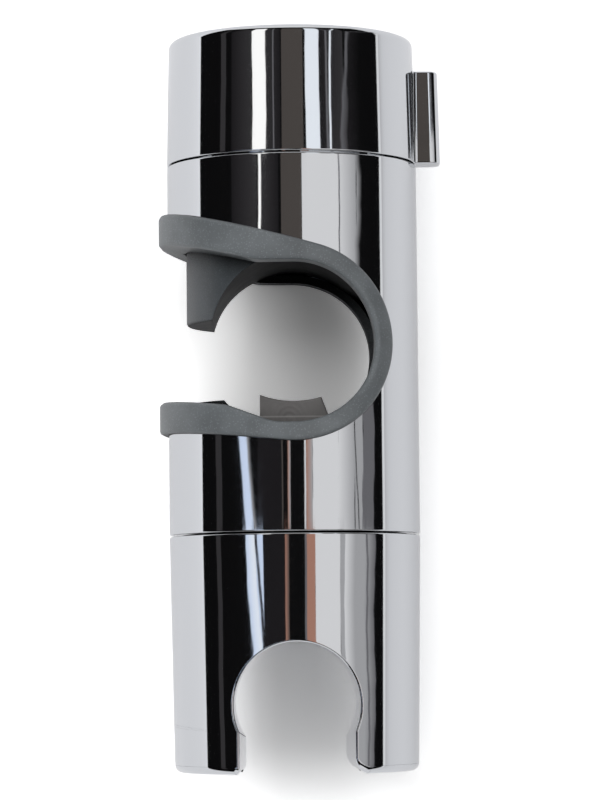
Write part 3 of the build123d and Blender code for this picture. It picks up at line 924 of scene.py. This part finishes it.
def seat_outline(half):
    """Outline from the user-side lip along the slot, round the seat and back to the wall-side lip."""
    user, wall = LIP_ROUND_USER, LIP_ROUND_WALL
    cut = math.degrees(math.asin(half / SEAT_RADIUS))
    joint = SEAT_X - SEAT_RADIUS * math.cos(math.radians(cut))
    first = arc_points((HOLDER_END + user, -half - user), user, 180, 90, LIP_STEPS)
    side = run_points((HOLDER_END + user, -half), (joint, -half), SLOT_STEPS, (0, 1))
    ring, out = arc_points((SEAT_X, 0), SEAT_RADIUS, -180 + cut, 180 - cut, SEAT_STEPS)
    back = run_points((joint, half), (HOLDER_END + wall, half), SLOT_STEPS, (0, -1))
    last = arc_points((HOLDER_END + wall, half + wall), wall, -90, -180, LIP_STEPS)
    flat, wall_out = join_runs(first, side, (ring, -out), back, last)
    lips = np.linspace(HOLDER_ROUND, SEAT_EDGE_ROUND, LIP_STEPS)
    sizes = np.concatenate([lips, np.full(2 * SLOT_STEPS + SEAT_STEPS, SEAT_EDGE_ROUND), lips[::-1]])
    return flat, wall_out, sizes


def holder_normals(points):
    """Outward normals of the holder's drafted wall."""
    lean = HOLDER_DRAFT / (HOLDER_FACE - HOLDER_END)
    normals = points.copy()
    normals[..., 0] = 0
    normals = unit(normals)
    normals[..., 0] = -lean
    return unit(normals)


def holder_half(skin, half):
    """One half of the holder's outer wall, with the rounded edges of its seat, slot and end."""
    flat, wall_out, sizes = seat_outline(half)
    edge = on_tube(flat, holder_radius(flat[:, 0]))
    wall = level(wall_out)
    strip, normals = edge_round(edge, wall, holder_normals(edge), sizes)
    rim = HOLDER_END + HOLDER_ROUND
    top = HOLDER_FACE - SEAM_ROUND
    flat_loop = np.column_stack([np.maximum(strip[-1][:, 0], rim), strip[-1][:, 1]])
    loop = on_tube(flat_loop, holder_radius(flat_loop[:, 0]))
    strip += (loop - strip[-1]) * np.linspace(0, 1, len(strip))[:, None, None] ** 2
    skin.grid(strip, normals)
    chart = np.stack([loop[:, 0], np.arctan2(loop[:, 1], loop[:, 2])], axis=-1)
    rows = spread(chart, (SEAT_CENTRE_X, 0), BODY_RADIUS, (rim, top), math.pi / 2, HOLDER_ROWS, pinned=True)
    points = round_axis(rows[..., 0], holder_radius(rows[..., 0]), rows[..., 1])
    skin.grid(points, holder_normals(points))
    add_holder_ends(skin, rows[-1], rim, top)
    return strip[0], wall


def add_holder_ends(skin, border, rim, top):
    """The end's rounded rim and flat face, and the bevelled top rim, for one half."""
    lean = math.degrees(math.atan2(HOLDER_DRAFT, HOLDER_FACE - HOLDER_END))
    upper = np.sort(border[np.abs(border[:, 0] - top) < 1e-3][:, 1])
    upper = np.concatenate([[-math.pi / 2], upper, [math.pi / 2]])
    skin.wheel(arc_profile(top, holder_radius(top) - SEAM_ROUND, SEAM_ROUND, 90, 0, ROUND_STEPS), upper)
    skin.wheel([(HOLDER_FACE, BODY_RADIUS - SEAM_ROUND, 1, 0), (HOLDER_FACE, HOLDER_BORE, 1, 0)], upper)
    end_round = arc_profile(rim, holder_radius(rim) - HOLDER_ROUND, HOLDER_ROUND, 90 + lean, 180, steps=10)
    for sign in (-1, 1):
        lip = abs(border[0 if sign < 0 else -1, 1]) - 1e-6
        lower = border[(np.abs(border[:, 0] - rim) < 1e-3) & (border[:, 1] * sign > lip)][:, 1]
        lower = np.sort(np.concatenate([lower, [sign * math.pi / 2]]))
        edge = skin.wheel(end_round, lower)[-1]
        skin.grid(np.stack([edge, edge * (1, 1, 0)]), (-1, 0, 0))


class SLIDER_OT_handset_holder(bpy.types.Operator):
    """Builds the chromed holder with its keyhole seat"""
    bl_idname = "slider.handset_holder"
    bl_label = "Handset Holder"

    def execute(self, context):
        skin = Skin()
        top, wall = holder_half(skin, SLOT_HALF_TOP)
        skin.flipped = True
        bottom, _ = holder_half(skin, SLOT_HALF_BOTTOM)
        skin.flipped = False
        share = np.linspace(0, 1, FACE_ROWS)[:, None, None]
        skin.grid(top * (1 - share) + bottom * (1, 1, -1) * share, wall)
        make_piece(skin.mesh("handset_holder_plated"), "handset_holder", "holder", "chrome_shell")
        return {"FINISHED"}


def merged_copy(node, walls):
    """Copy of a CAD node's mesh with its corners merged, and true normals on its curved walls.

    Each wall is (axis, radius): a cylinder about X or Z through the bore's middle, in millimetres.
    """
    mesh = frame["nodes"][node].data.copy()
    mesh.name = node + "_moulding"
    work = bmesh.new()
    work.from_mesh(mesh)
    bmesh.ops.remove_doubles(work, verts=work.verts, dist=1e-6)
    for face in work.faces:
        face.smooth = True
    work.to_mesh(mesh)
    work.free()
    normals = []
    for face in mesh.polygons:
        for index in face.vertices:
            normals.append(wall_normal(mesh.vertices[index].co, face.normal, walls))
    mesh.normals_split_custom_set(normals)
    return mesh


def wall_normal(point, flat, walls):
    """Normal at a point of a face: a curved wall's where the face lies on one, else the face's own."""
    for axis, radius in walls:
        out = point.copy()
        out[axis] = 0
        across = out.length * 1000
        if abs(across - radius) < WALL_TOLERANCE and abs(out.normalized().dot(flat)) > WALL_FACING:
            return tuple(out.normalized() * math.copysign(1, out.dot(flat)))
    return tuple(flat)


class SLIDER_OT_inner_mouldings(bpy.types.Operator):
    """Smooths the jaw, the pad and the pad carrier, and gives them their plastics"""
    bl_idname = "slider.inner_mouldings"
    bl_label = "Jaw, Pad and Carrier"

    def execute(self, context):
        for node, body, slot, walls in (
                ("clamp_jaw", "jaw", "jaw_plastic", ((0, JAW_RADIUS), (2, SADDLE_RADIUS))),
                ("rail_pad", "pad", "pad_plastic", ((2, PAD_TOP_RADIUS),)),
                ("pad_carrier", "body", "liner_plastic",
                 ((0, BODY_RADIUS - TUBE_WALL - WEB_GAP), (0, JAW_RADIUS), (2, CARRIER_SADDLE_RADIUS)))):
            make_piece(merged_copy(node, walls), node, body, slot)
        return {"FINISHED"}


def spring_tree():
    """Geometry nodes that wind the coils: named inputs, sweeps, real instances and a material."""
    tree = bpy.data.node_groups.new("Pad springs", "GeometryNodeTree")
    face = tree.interface
    for name in ("Turns", "Coil Radius", "Wire Radius", "Length", "Spacing", "Foot"):
        face.new_socket(name, in_out="INPUT", socket_type="NodeSocketFloat")
    face.new_socket("Material", in_out="INPUT", socket_type="NodeSocketMaterial")
    face.new_socket("Geometry", in_out="OUTPUT", socket_type="NodeSocketGeometry")
    given = add(tree, "NodeGroupInput").outputs
    coil = made(tree, "GeometryNodeCurveSpiral",
                {"Resolution": COIL_STEPS, "Rotations": given["Turns"], "Start Radius": given["Coil Radius"],
                 "End Radius": given["Coil Radius"], "Height": given["Length"]})
    ring = made(tree, "GeometryNodeCurvePrimitiveCircle",
                {"Resolution": WIRE_SIDES, "Radius": given["Wire Radius"]})
    wire = made(tree, "GeometryNodeCurveToMesh", {"Curve": coil, "Profile Curve": ring, "Fill Caps": True})
    smooth = made(tree, "GeometryNodeSetShadeSmooth", {"Geometry": wire})
    low_z = calc(tree, "MULTIPLY", given["Spacing"], -0.5)
    low = made(tree, "ShaderNodeCombineXYZ", {"X": given["Foot"], "Z": low_z})
    step = made(tree, "ShaderNodeCombineXYZ", {"Z": given["Spacing"]})
    line = made(tree, "GeometryNodeMeshLine", {"Count": 2, "Start Location": low, "Offset": step})
    placed = made(tree, "GeometryNodeInstanceOnPoints",
                  {"Points": line, "Instance": smooth, "Rotation": (0, math.pi / 2, 0)})
    real = made(tree, "GeometryNodeRealizeInstances", {"Geometry": placed})
    painted = made(tree, "GeometryNodeSetMaterial", {"Geometry": real, "Material": given["Material"]})
    add(tree, "NodeGroupOutput", {"Geometry": painted})
    return tree


class SLIDER_OT_pad_springs(bpy.types.Operator):
    """Winds the two springs under the pad with geometry nodes"""
    bl_idname = "slider.pad_springs"
    bl_label = "Pad Springs"

    def execute(self, context):
        spring = settings().spring
        tree = spring_tree()
        wire = spring.wire_radius
        low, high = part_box("pad_springs")
        values = {"Turns": spring.turns, "Coil Radius": spring.coil_radius, "Wire Radius": wire,
                  "Length": high[0] - low[0] - 2 * wire, "Foot": low[0] + wire,
                  "Spacing": high[2] - low[2] - 2 * (spring.coil_radius + wire),
                  "Material": bpy.data.materials["drawn_steel"]}
        seed = bpy.data.meshes.new("pad_springs_seed")
        holder = bpy.data.objects.new("pad_springs_seed", seed)
        context.scene.collection.objects.link(holder)
        modifier = holder.modifiers.new("Pad springs", "NODES")
        modifier.node_group = tree
        for socket in tree.interface.items_tree:
            if socket.in_out == "INPUT":
                modifier[socket.identifier] = values[socket.name]
        context.view_layer.update()
        shape = holder.evaluated_get(context.evaluated_depsgraph_get())
        mesh = bpy.data.meshes.new_from_object(shape)
        mesh.name = "pad_springs_wire"
        bpy.data.objects.remove(holder)
        piece = make_piece(mesh, "pad_springs", "pad", "plain_steel")
        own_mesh(piece)
        return {"FINISHED"}


class SLIDER_OT_materials(bpy.types.Operator):
    """Makes the materials and gives each CAD node its own"""
    bl_idname = "slider.materials"
    bl_label = "Materials"

    def execute(self, context):
        plastic = settings().plastic
        chrome_plate()
        # The numbers are the roughness, the specks, and the width and the level of the painted edge
        # highlight; reach is how near walls must stand for the painted shade
        moulded_plastic("blue_grey_moulded_liner", tuple(plastic.liner), 0.4, 0.6, 0.0004, 0.6, reach=0.02)
        moulded_plastic("dark_grey_moulded_jaw", tuple(plastic.jaw), 0.38, 0.4, 0.0003, 0.5, reach=0.06)
        moulded_plastic("brown_grey_moulded_pad", tuple(plastic.pad), 0.5, 0.1, 0.0003, 0.35, gate=True)
        moulded_plastic("natural_moulded_acetal", linear(0xE2E1DA), 0.4, 0.0, 0.0002, 0.1)
        turned_metal("drawn_steel", linear(0xB9BBBD), 0.3)
        turned_metal("turned_brass", linear(0xC9A35A), 0.28)
        moulded_rubber()
        for entry in frame["record"]["subparts"]:
            mesh = frame["nodes"][entry["node"]].data
            mesh.materials.clear()
            mesh.materials.append(bpy.data.materials[SLOTS[entry["material_slot"]]])
        return {"FINISHED"}


# Stage

# The cards that stand round the part and show in its chrome, each with its colour there
CARDS = {
    "flag": 0x0B0B0C,
    "dusk": 0x1A191B,
    "dim": 0x302F31,
    "room": 0x45413F,
    "mist": 0x606064,
    "haze": 0x98999C,
    "wall": 0xCBCCCF,
    "paper": 0xFAFAFA,
    "sky": 0xDEE4EC,
    "blue": 0xC2D0E8,
    "copper": 0x9A7264,
}
# Strips of the chrome's picture on the black flag, back ones first: the card that a strip starts
# with, the one that it ends with, its places across the cylinder in millimetres from the wall's
# side to the user's side, how far it leans in each 100 mm of card, and how far it sways. The
# places hold at the middle of the part of the card that shows
CAP_STRIPS = [
    ("dim", "dim", 11.2, 10.4, 0.0, 0.1), ("dusk", "dim", 9.5, 6.3, 0.0, 0.0),
    ("dim", "dusk", 4.2, 1.8, 0.0, 0.0), ("paper", "paper", 6.2, 4.1, 0.0, 0.12),
    ("mist", "mist", 3.0, 2.8, 0.0, 0.05), ("room", "room", 1.6, -1.8, 0.0, 0.0),
    ("dusk", "dim", -4.4, -8.2, 0.0, 0.0), ("sky", "sky", -2.2, -4.4, 0.0, 0.1),
    ("mist", "mist", -5.5, -5.8, 0.4, 0.05), ("sky", "sky", -5.9, -6.2, -0.4, 0.1),
    ("mist", "dim", -7.8, -8.9, -2.0, 0.35), ("dusk", "flag", -8.6, -10.5, -2.0, 0.4),
]
UPPER_STRIPS = [
    ("dusk", "dim", 9.5, 5.6, 0.0, 0.0), ("dim", "dusk", 4.9, 2.2, 0.0, 0.0),
    ("paper", "paper", 5.35, 4.95, 0.0, 0.1), ("room", "room", 1.8, -1.4, 0.0, 0.0),
    ("wall", "wall", -1.45, -7.1, 0.0, 0.0), ("wall", "haze", -7.1, -9.9, 0.0, 0.0),
    ("mist", "mist", -7.15, -7.35, 0.3, 0.12), ("haze", "dusk", -9.8, -10.6, 0.0, 0.35),
]
LOWER_STRIPS = [
    ("dim", "dim", 12.3, 11.4, 0.0, 0.1), ("dusk", "dusk", 5.8, 1.9, 0.0, 0.1),
    ("room", "room", 2.1, 1.9, 0.0, 0.05), ("copper", "haze", 1.15, 0.75, 0.0, 0.05),
    ("blue", "blue", 8.3, 7.1, 4.0, 0.12), ("haze", "dusk", 7.1, 6.6, 4.0, 0.12),
    ("copper", "haze", -1.7, -2.7, 0.0, 0.05), ("wall", "wall", -1.4, -1.65, 0.0, 0.05),
    ("wall", "wall", -2.7, -6.7, 0.0, 0.1), ("wall", "haze", -6.7, -9.2, 0.0, 0.1),
    ("haze", "haze", -9.2, -10.7, 0.0, 0.2), ("mist", "mist", -10.5, -12.3, 0.0, 0.25),
    ("flag", "flag", -9.5, -9.65, 1.6, 0.1),
]
HOLDER_STRIPS = [
    ("dim", "dim", 12.3, 11.6, 0.0, 0.1), ("dusk", "dusk", 5.0, 1.7, 0.0, 0.0),
    ("copper", "room", 1.7, 1.1, 0.0, 0.05), ("blue", "blue", 6.6, 5.1, 0.0, 0.05),
    ("blue", "sky", 7.7, 6.3, 2.6, 0.22), ("dusk", "dusk", 6.2, 5.8, 3.0, 0.12),
    ("copper", "copper", -1.6, -3.0, 0.0, 0.06), ("mist", "mist", -1.35, -1.65, 0.0, 0.06),
    ("wall", "wall", -3.0, -6.9, 0.0, 0.0), ("haze", "haze", -6.9, -10.9, 0.0, 0.1),
    ("wall", "haze", -7.6, -9.2, 0.0, 0.15), ("haze", "mist", -10.7, -12.3, 0.0, 0.25),
    ("mist", "mist", -10.9, -11.2, 0.5, 0.2),
]
# The places where the black flag ends and the pale floor begins to show
FLAG_EDGES = (14.8, -13.65)
CARD_RADIUS = 0.6
# Each row of strips with the lowest, middle and highest place of its cards, in metres
CARD_ZONES = [(HOLDER_STRIPS, -0.3, -0.035, -0.0106), (LOWER_STRIPS, -0.0106, 0.007, 0.045),
              (UPPER_STRIPS, 0.045, 0.09, 0.115), (CAP_STRIPS, 0.115, 0.13, 0.5)]
CARD_END = 0.9
CARD_STEP = 0.003
# Width of a card's columns across the cylinder, in millimetres, and the length of card for one lean
CARD_COLUMN = 0.2
LEAN_SPAN = 0.1
# Height of the cylinder's top over the bore's middle, in metres
CARD_VIEW_RISE = 0.02
# Swings of a strip's edge: the length of one along the cards, in metres, its size and its shift
SWAYS = ((0.047, 0.6, 1), (0.0131, 0.3, 3), (0.0061, 0.25, 7))
# The part's shade lies this much toward the user's side, and this much farther out at its ends
SHADE_SHIFT_Y = 3.0
SHADE_REACH_X = 7.0
# Brightness of the paper beside the part and away from it, and how far out each holds, in metres; the lower
# level beside the part is painted shade
PAPER_NEAR = (0.009, 1.35)
PAPER_FAR = (0.026, 2.4)
# Level of the world's light from the sides, and the height at which it is full
SKY_FOOT = 0.05
SKY_FULL = 0.7
# Colours of the paper in soft light and in the chrome
PAPER_SOFT = (0.55, 0.55, 0.55, 1)
PAPER_MIRRORED = (1.24, 1.24, 1.26, 1)
# The paper's half width, the lamps' places and the lamps' side, in metres
FLOOR_HALF = 3.0
KEY_PLACE = (0.2, 0.55, 0.6)
FILL_PLACE = (0.1, -0.3, 0.8)
LAMP_SIDE = 0.5


def card_angle(place):
    """Direction of what the cylinder mirrors at a place across it, from straight up towards +Y."""
    tilt = math.asin(max(-1.0, min(1.0, place / BODY_RADIUS)))
    view = math.atan2((place - CAMERA_Y) * MM, settings().stage.camera_height - CARD_VIEW_RISE)
    direct = 2 * tilt + view
    across = place * MM
    height = BODY_RADIUS * MM * math.cos(tilt)
    span = CARD_RADIUS - (across * math.sin(direct) + height * math.cos(direct))
    return math.atan2(across + span * math.sin(direct), height + span * math.cos(direct))


def sway(place, x):
    """Sideways swing of a strip's edge at a place along the cards, about -1 to 1."""
    return sum(math.sin(2 * math.pi * x / length + place * shift) * size for length, size, shift in SWAYS)


def card_strip(points, faces, colours, strip, zone, layer, plate):
    """Adds one strip of card, standing in front of the earlier ones."""
    first, last, start, end, lean, swing = strip
    low, middle, high = zone
    lights = [np.array(linear(CARDS[name])[:3]) / np.array(plate[:3]) for name in (first, last)]
    base = len(points)
    columns = max(4, int(abs(end - start) / CARD_COLUMN))
    radius = CARD_RADIUS - layer * MM
    rows = max(2, int((high - low) / CARD_STEP)) if swing else 1
    for row in range(rows + 1):
        x = low + (high - low) * row / rows
        shift = lean * (x - middle) / LEAN_SPAN + swing * sway(start + end, x)
        for k in range(columns + 1):
            share = k / columns
            place = start + (end - start) * share + shift
            angle = card_angle(place)
            points.append((x, radius * math.sin(angle), radius * math.cos(angle)))
            colours.append(tuple(lights[0] * (1 - share) + lights[1] * share) + (1.0,))
    for row in range(rows):
        for k in range(columns):
            corner = base + row * (columns + 1) + k
            faces.append((corner, corner + 1, corner + columns + 2, corner + columns + 1))


def card_mesh(plate):
    """Curved cards round the cylinder's axis, with the light of each in a colour attribute."""
    points, faces, colours = [], [], []
    flag = ("flag", "flag", FLAG_EDGES[0], 0, 0, 0), ("flag", "flag", 0, FLAG_EDGES[1], 0, 0)
    for strip in flag:
        card_strip(points, faces, colours, strip, (-CARD_END, 0, CARD_END), 0, plate)
    for strips, *zone in CARD_ZONES:
        for layer, strip in enumerate(strips):
            card_strip(points, faces, colours, strip, zone, layer + 1, plate)
    mesh = bpy.data.meshes.new("studio_cards")
    mesh.from_pydata(points, [], faces)
    layer = mesh.color_attributes.new("card", "FLOAT_COLOR", "POINT")
    layer.data.foreach_set("color", np.array(colours, dtype=np.float32).reshape(-1))
    return mesh


def card_material():
    """Light cards: each gives off its own colour."""
    material, tree = new_material("studio_card_light")
    light = made(tree, "ShaderNodeAttribute", attribute_name="card")
    shader = made(tree, "ShaderNodeEmission", {"Color": light, "Strength": 1.0})
    return finish_material(material, tree, shader)


def ray_kind(tree, *names):
    """One where the ray is of any of the named kinds, else zero."""
    path = add(tree, "ShaderNodeLightPath")
    kind = path.outputs[names[0]]
    for name in names[1:]:
        kind = calc(tree, "MAXIMUM", kind, path.outputs[name])
    return kind


def paper_brightness(tree):
    """Brightness of the paper to the camera: plain under the part, overbright round its outline. The lower
    level near the part is painted shade that adds to its real shadow.
    """
    place = add(tree, "ShaderNodeSeparateXYZ", {"Vector": add(tree, "ShaderNodeTexCoord").outputs["Object"]})
    across = calc(tree, "ABSOLUTE", calc(tree, "ADD", place.outputs["Y"], SHADE_SHIFT_Y * MM))
    along = calc(tree, "ABSOLUTE", calc(tree, "ADD", place.outputs["X"], -PART_MIDDLE_X * MM))
    shade_end = PART_REACH_X - BODY_RADIUS + SHADE_REACH_X
    farther = calc(tree, "MAXIMUM", across, calc(tree, "SUBTRACT", along, shade_end * MM))
    return between(tree, farther, PAPER_NEAR[0], PAPER_FAR[0], PAPER_NEAR[1], PAPER_FAR[1])


def paper_floor():
    """Pale paper: white to the camera where it is lit, pale grey in the chrome, and shadowed by the part,
    with painted shade added near it.
    """
    material, tree = new_material("white_paper_sweep")
    tones = (PAPER_SOFT, PAPER_MIRRORED, paper_brightness(tree))
    soft, mirrored, seen = (made(tree, "ShaderNodeBsdfDiffuse", {"Color": tone}) for tone in tones)
    mixed = mix_shader(tree, ray_kind(tree, "Is Glossy Ray"), soft, mirrored)
    mixed = mix_shader(tree, ray_kind(tree, "Is Camera Ray", "Is Transmission Ray"), mixed, seen)
    return finish_material(material, tree, mixed)


def white_world(level):
    """World that shows white to the camera and in mirrors, and lights the part softly."""
    world = bpy.data.worlds.new("studio_world")
    world.use_nodes = True
    tree = world.node_tree
    tree.nodes.clear()
    seen = ray_kind(tree, "Is Camera Ray", "Is Glossy Ray", "Is Transmission Ray")
    way = add(tree, "ShaderNodeTexCoord").outputs["Generated"]
    height = add(tree, "ShaderNodeSeparateXYZ", {"Vector": way}).outputs["Z"]
    sky = ramp(tree, height, (0.0, grey(SKY_FOOT)), (SKY_FULL, grey(1.0)))
    soft = made(tree, "ShaderNodeBackground", {"Color": sky, "Strength": level})
    white = made(tree, "ShaderNodeBackground", {"Color": grey(1.0), "Strength": 1.0})
    add(tree, "ShaderNodeOutputWorld", {"Surface": mix_shader(tree, seen, soft, white)})
    bpy.context.scene.world = world


def area_lamp(name, place, power):
    """Soft square lamp that points at the bore's middle and doesn't show in the chrome."""
    data = bpy.data.lights.new(name, "AREA")
    data.shape = "RECTANGLE"
    data.size = data.size_y = LAMP_SIDE
    data.energy = power
    lamp = bpy.data.objects.new(name, data)
    lamp.location = place
    lamp.rotation_euler = (-Vector(place)).to_track_quat("-Z", "Y").to_euler()
    lamp.visible_glossy = False
    bpy.context.scene.collection.objects.link(lamp)


def place_camera(stage):
    """Camera above the part, looking down the rail with the cap at the top of the frame."""
    data = bpy.data.cameras.new("camera")
    data.lens = stage.lens
    data.clip_start = 0.01
    camera = bpy.data.objects.new("camera", data)
    place = Vector((CAMERA_X * MM, CAMERA_Y * MM, stage.camera_height))
    forward = (Vector(AIM) * MM - place).normalized()
    level = Vector((1, 0, 0)) - forward * forward.x
    up = Matrix.Rotation(math.radians(CAMERA_ROLL), 3, forward) @ level.normalized()
    right = forward.cross(up)
    turn = Matrix((right, up, -forward)).transposed()
    camera.matrix_world = Matrix.Translation(place) @ turn.to_4x4()
    bpy.context.scene.collection.objects.link(camera)
    bpy.context.scene.camera = camera


class SLIDER_OT_stage(bpy.types.Operator):
    """Sets the floor, the lamps, the cards that the chrome mirrors and the camera"""
    bl_idname = "slider.stage"
    bl_label = "Stage"

    def execute(self, context):
        stage = settings().stage
        context.scene.view_settings.view_transform = "Standard"
        height = (cad_box[0][2] * 1000 - FLOOR_GAP) * MM
        corners = [(x * FLOOR_HALF, y * FLOOR_HALF, height) for x, y in ((-1, -1), (1, -1), (1, 1), (-1, 1))]
        mesh = bpy.data.meshes.new("paper_sweep")
        mesh.from_pydata(corners, [], [(0, 1, 2, 3)])
        floor = make_object("paper_sweep", mesh, paper_floor())
        cards = make_object("studio_cards", card_mesh(tuple(settings().chrome.colour)), card_material())
        cards.visible_camera = False
        cards.visible_diffuse = False
        cards.visible_transmission = False
        cards.visible_shadow = False
        white_world(stage.world_level)
        area_lamp("key_lamp", KEY_PLACE, stage.key_power)
        area_lamp("fill_lamp", FILL_PLACE, stage.fill_power)
        place_camera(stage)
        return {"FINISHED"}


class SLIDER_PT_panel(bpy.types.Panel):
    """Lists the slider's operators and settings"""
    bl_idname = "SLIDER_PT_panel"
    bl_label = "Shower Rail Slider"
    bl_space_type = "VIEW_3D"
    bl_region_type = "UI"
    bl_category = "Slider"

    def draw(self, context):
        for operator in OPERATORS:
            self.layout.operator(operator.bl_idname)
        for name in ("chrome", "plastic", "spring", "stage"):
            group = getattr(settings(), name)
            box = self.layout.box()
            for key in group.__annotations__:
                box.prop(group, key)


OPERATORS = (SLIDER_OT_materials, SLIDER_OT_body_shell, SLIDER_OT_lock_cap, SLIDER_OT_handset_holder,
             SLIDER_OT_rail_liner, SLIDER_OT_inner_mouldings, SLIDER_OT_pad_springs, SLIDER_OT_stage)
CLASSES = (ChromeSettings, PlasticSettings, SpringSettings, StageSettings, SliderSettings) + OPERATORS + (
    SLIDER_PT_panel,)


def register():
    """Registers the classes and the scene's settings."""
    for cls in CLASSES:
        bpy.utils.register_class(cls)
    bpy.types.Scene.shower_rail_slider = bpy.props.PointerProperty(type=SliderSettings)


def unregister():
    """Takes the classes and the settings away again."""
    del bpy.types.Scene.shower_rail_slider
    for cls in reversed(CLASSES):
        bpy.utils.unregister_class(cls)


def main():
    """Registers the add-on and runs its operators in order."""
    register()
    for operator in OPERATORS:
        group, name = operator.bl_idname.split(".")
        getattr(getattr(bpy.ops, group), name)()


if __name__ == "__main__":
    main()
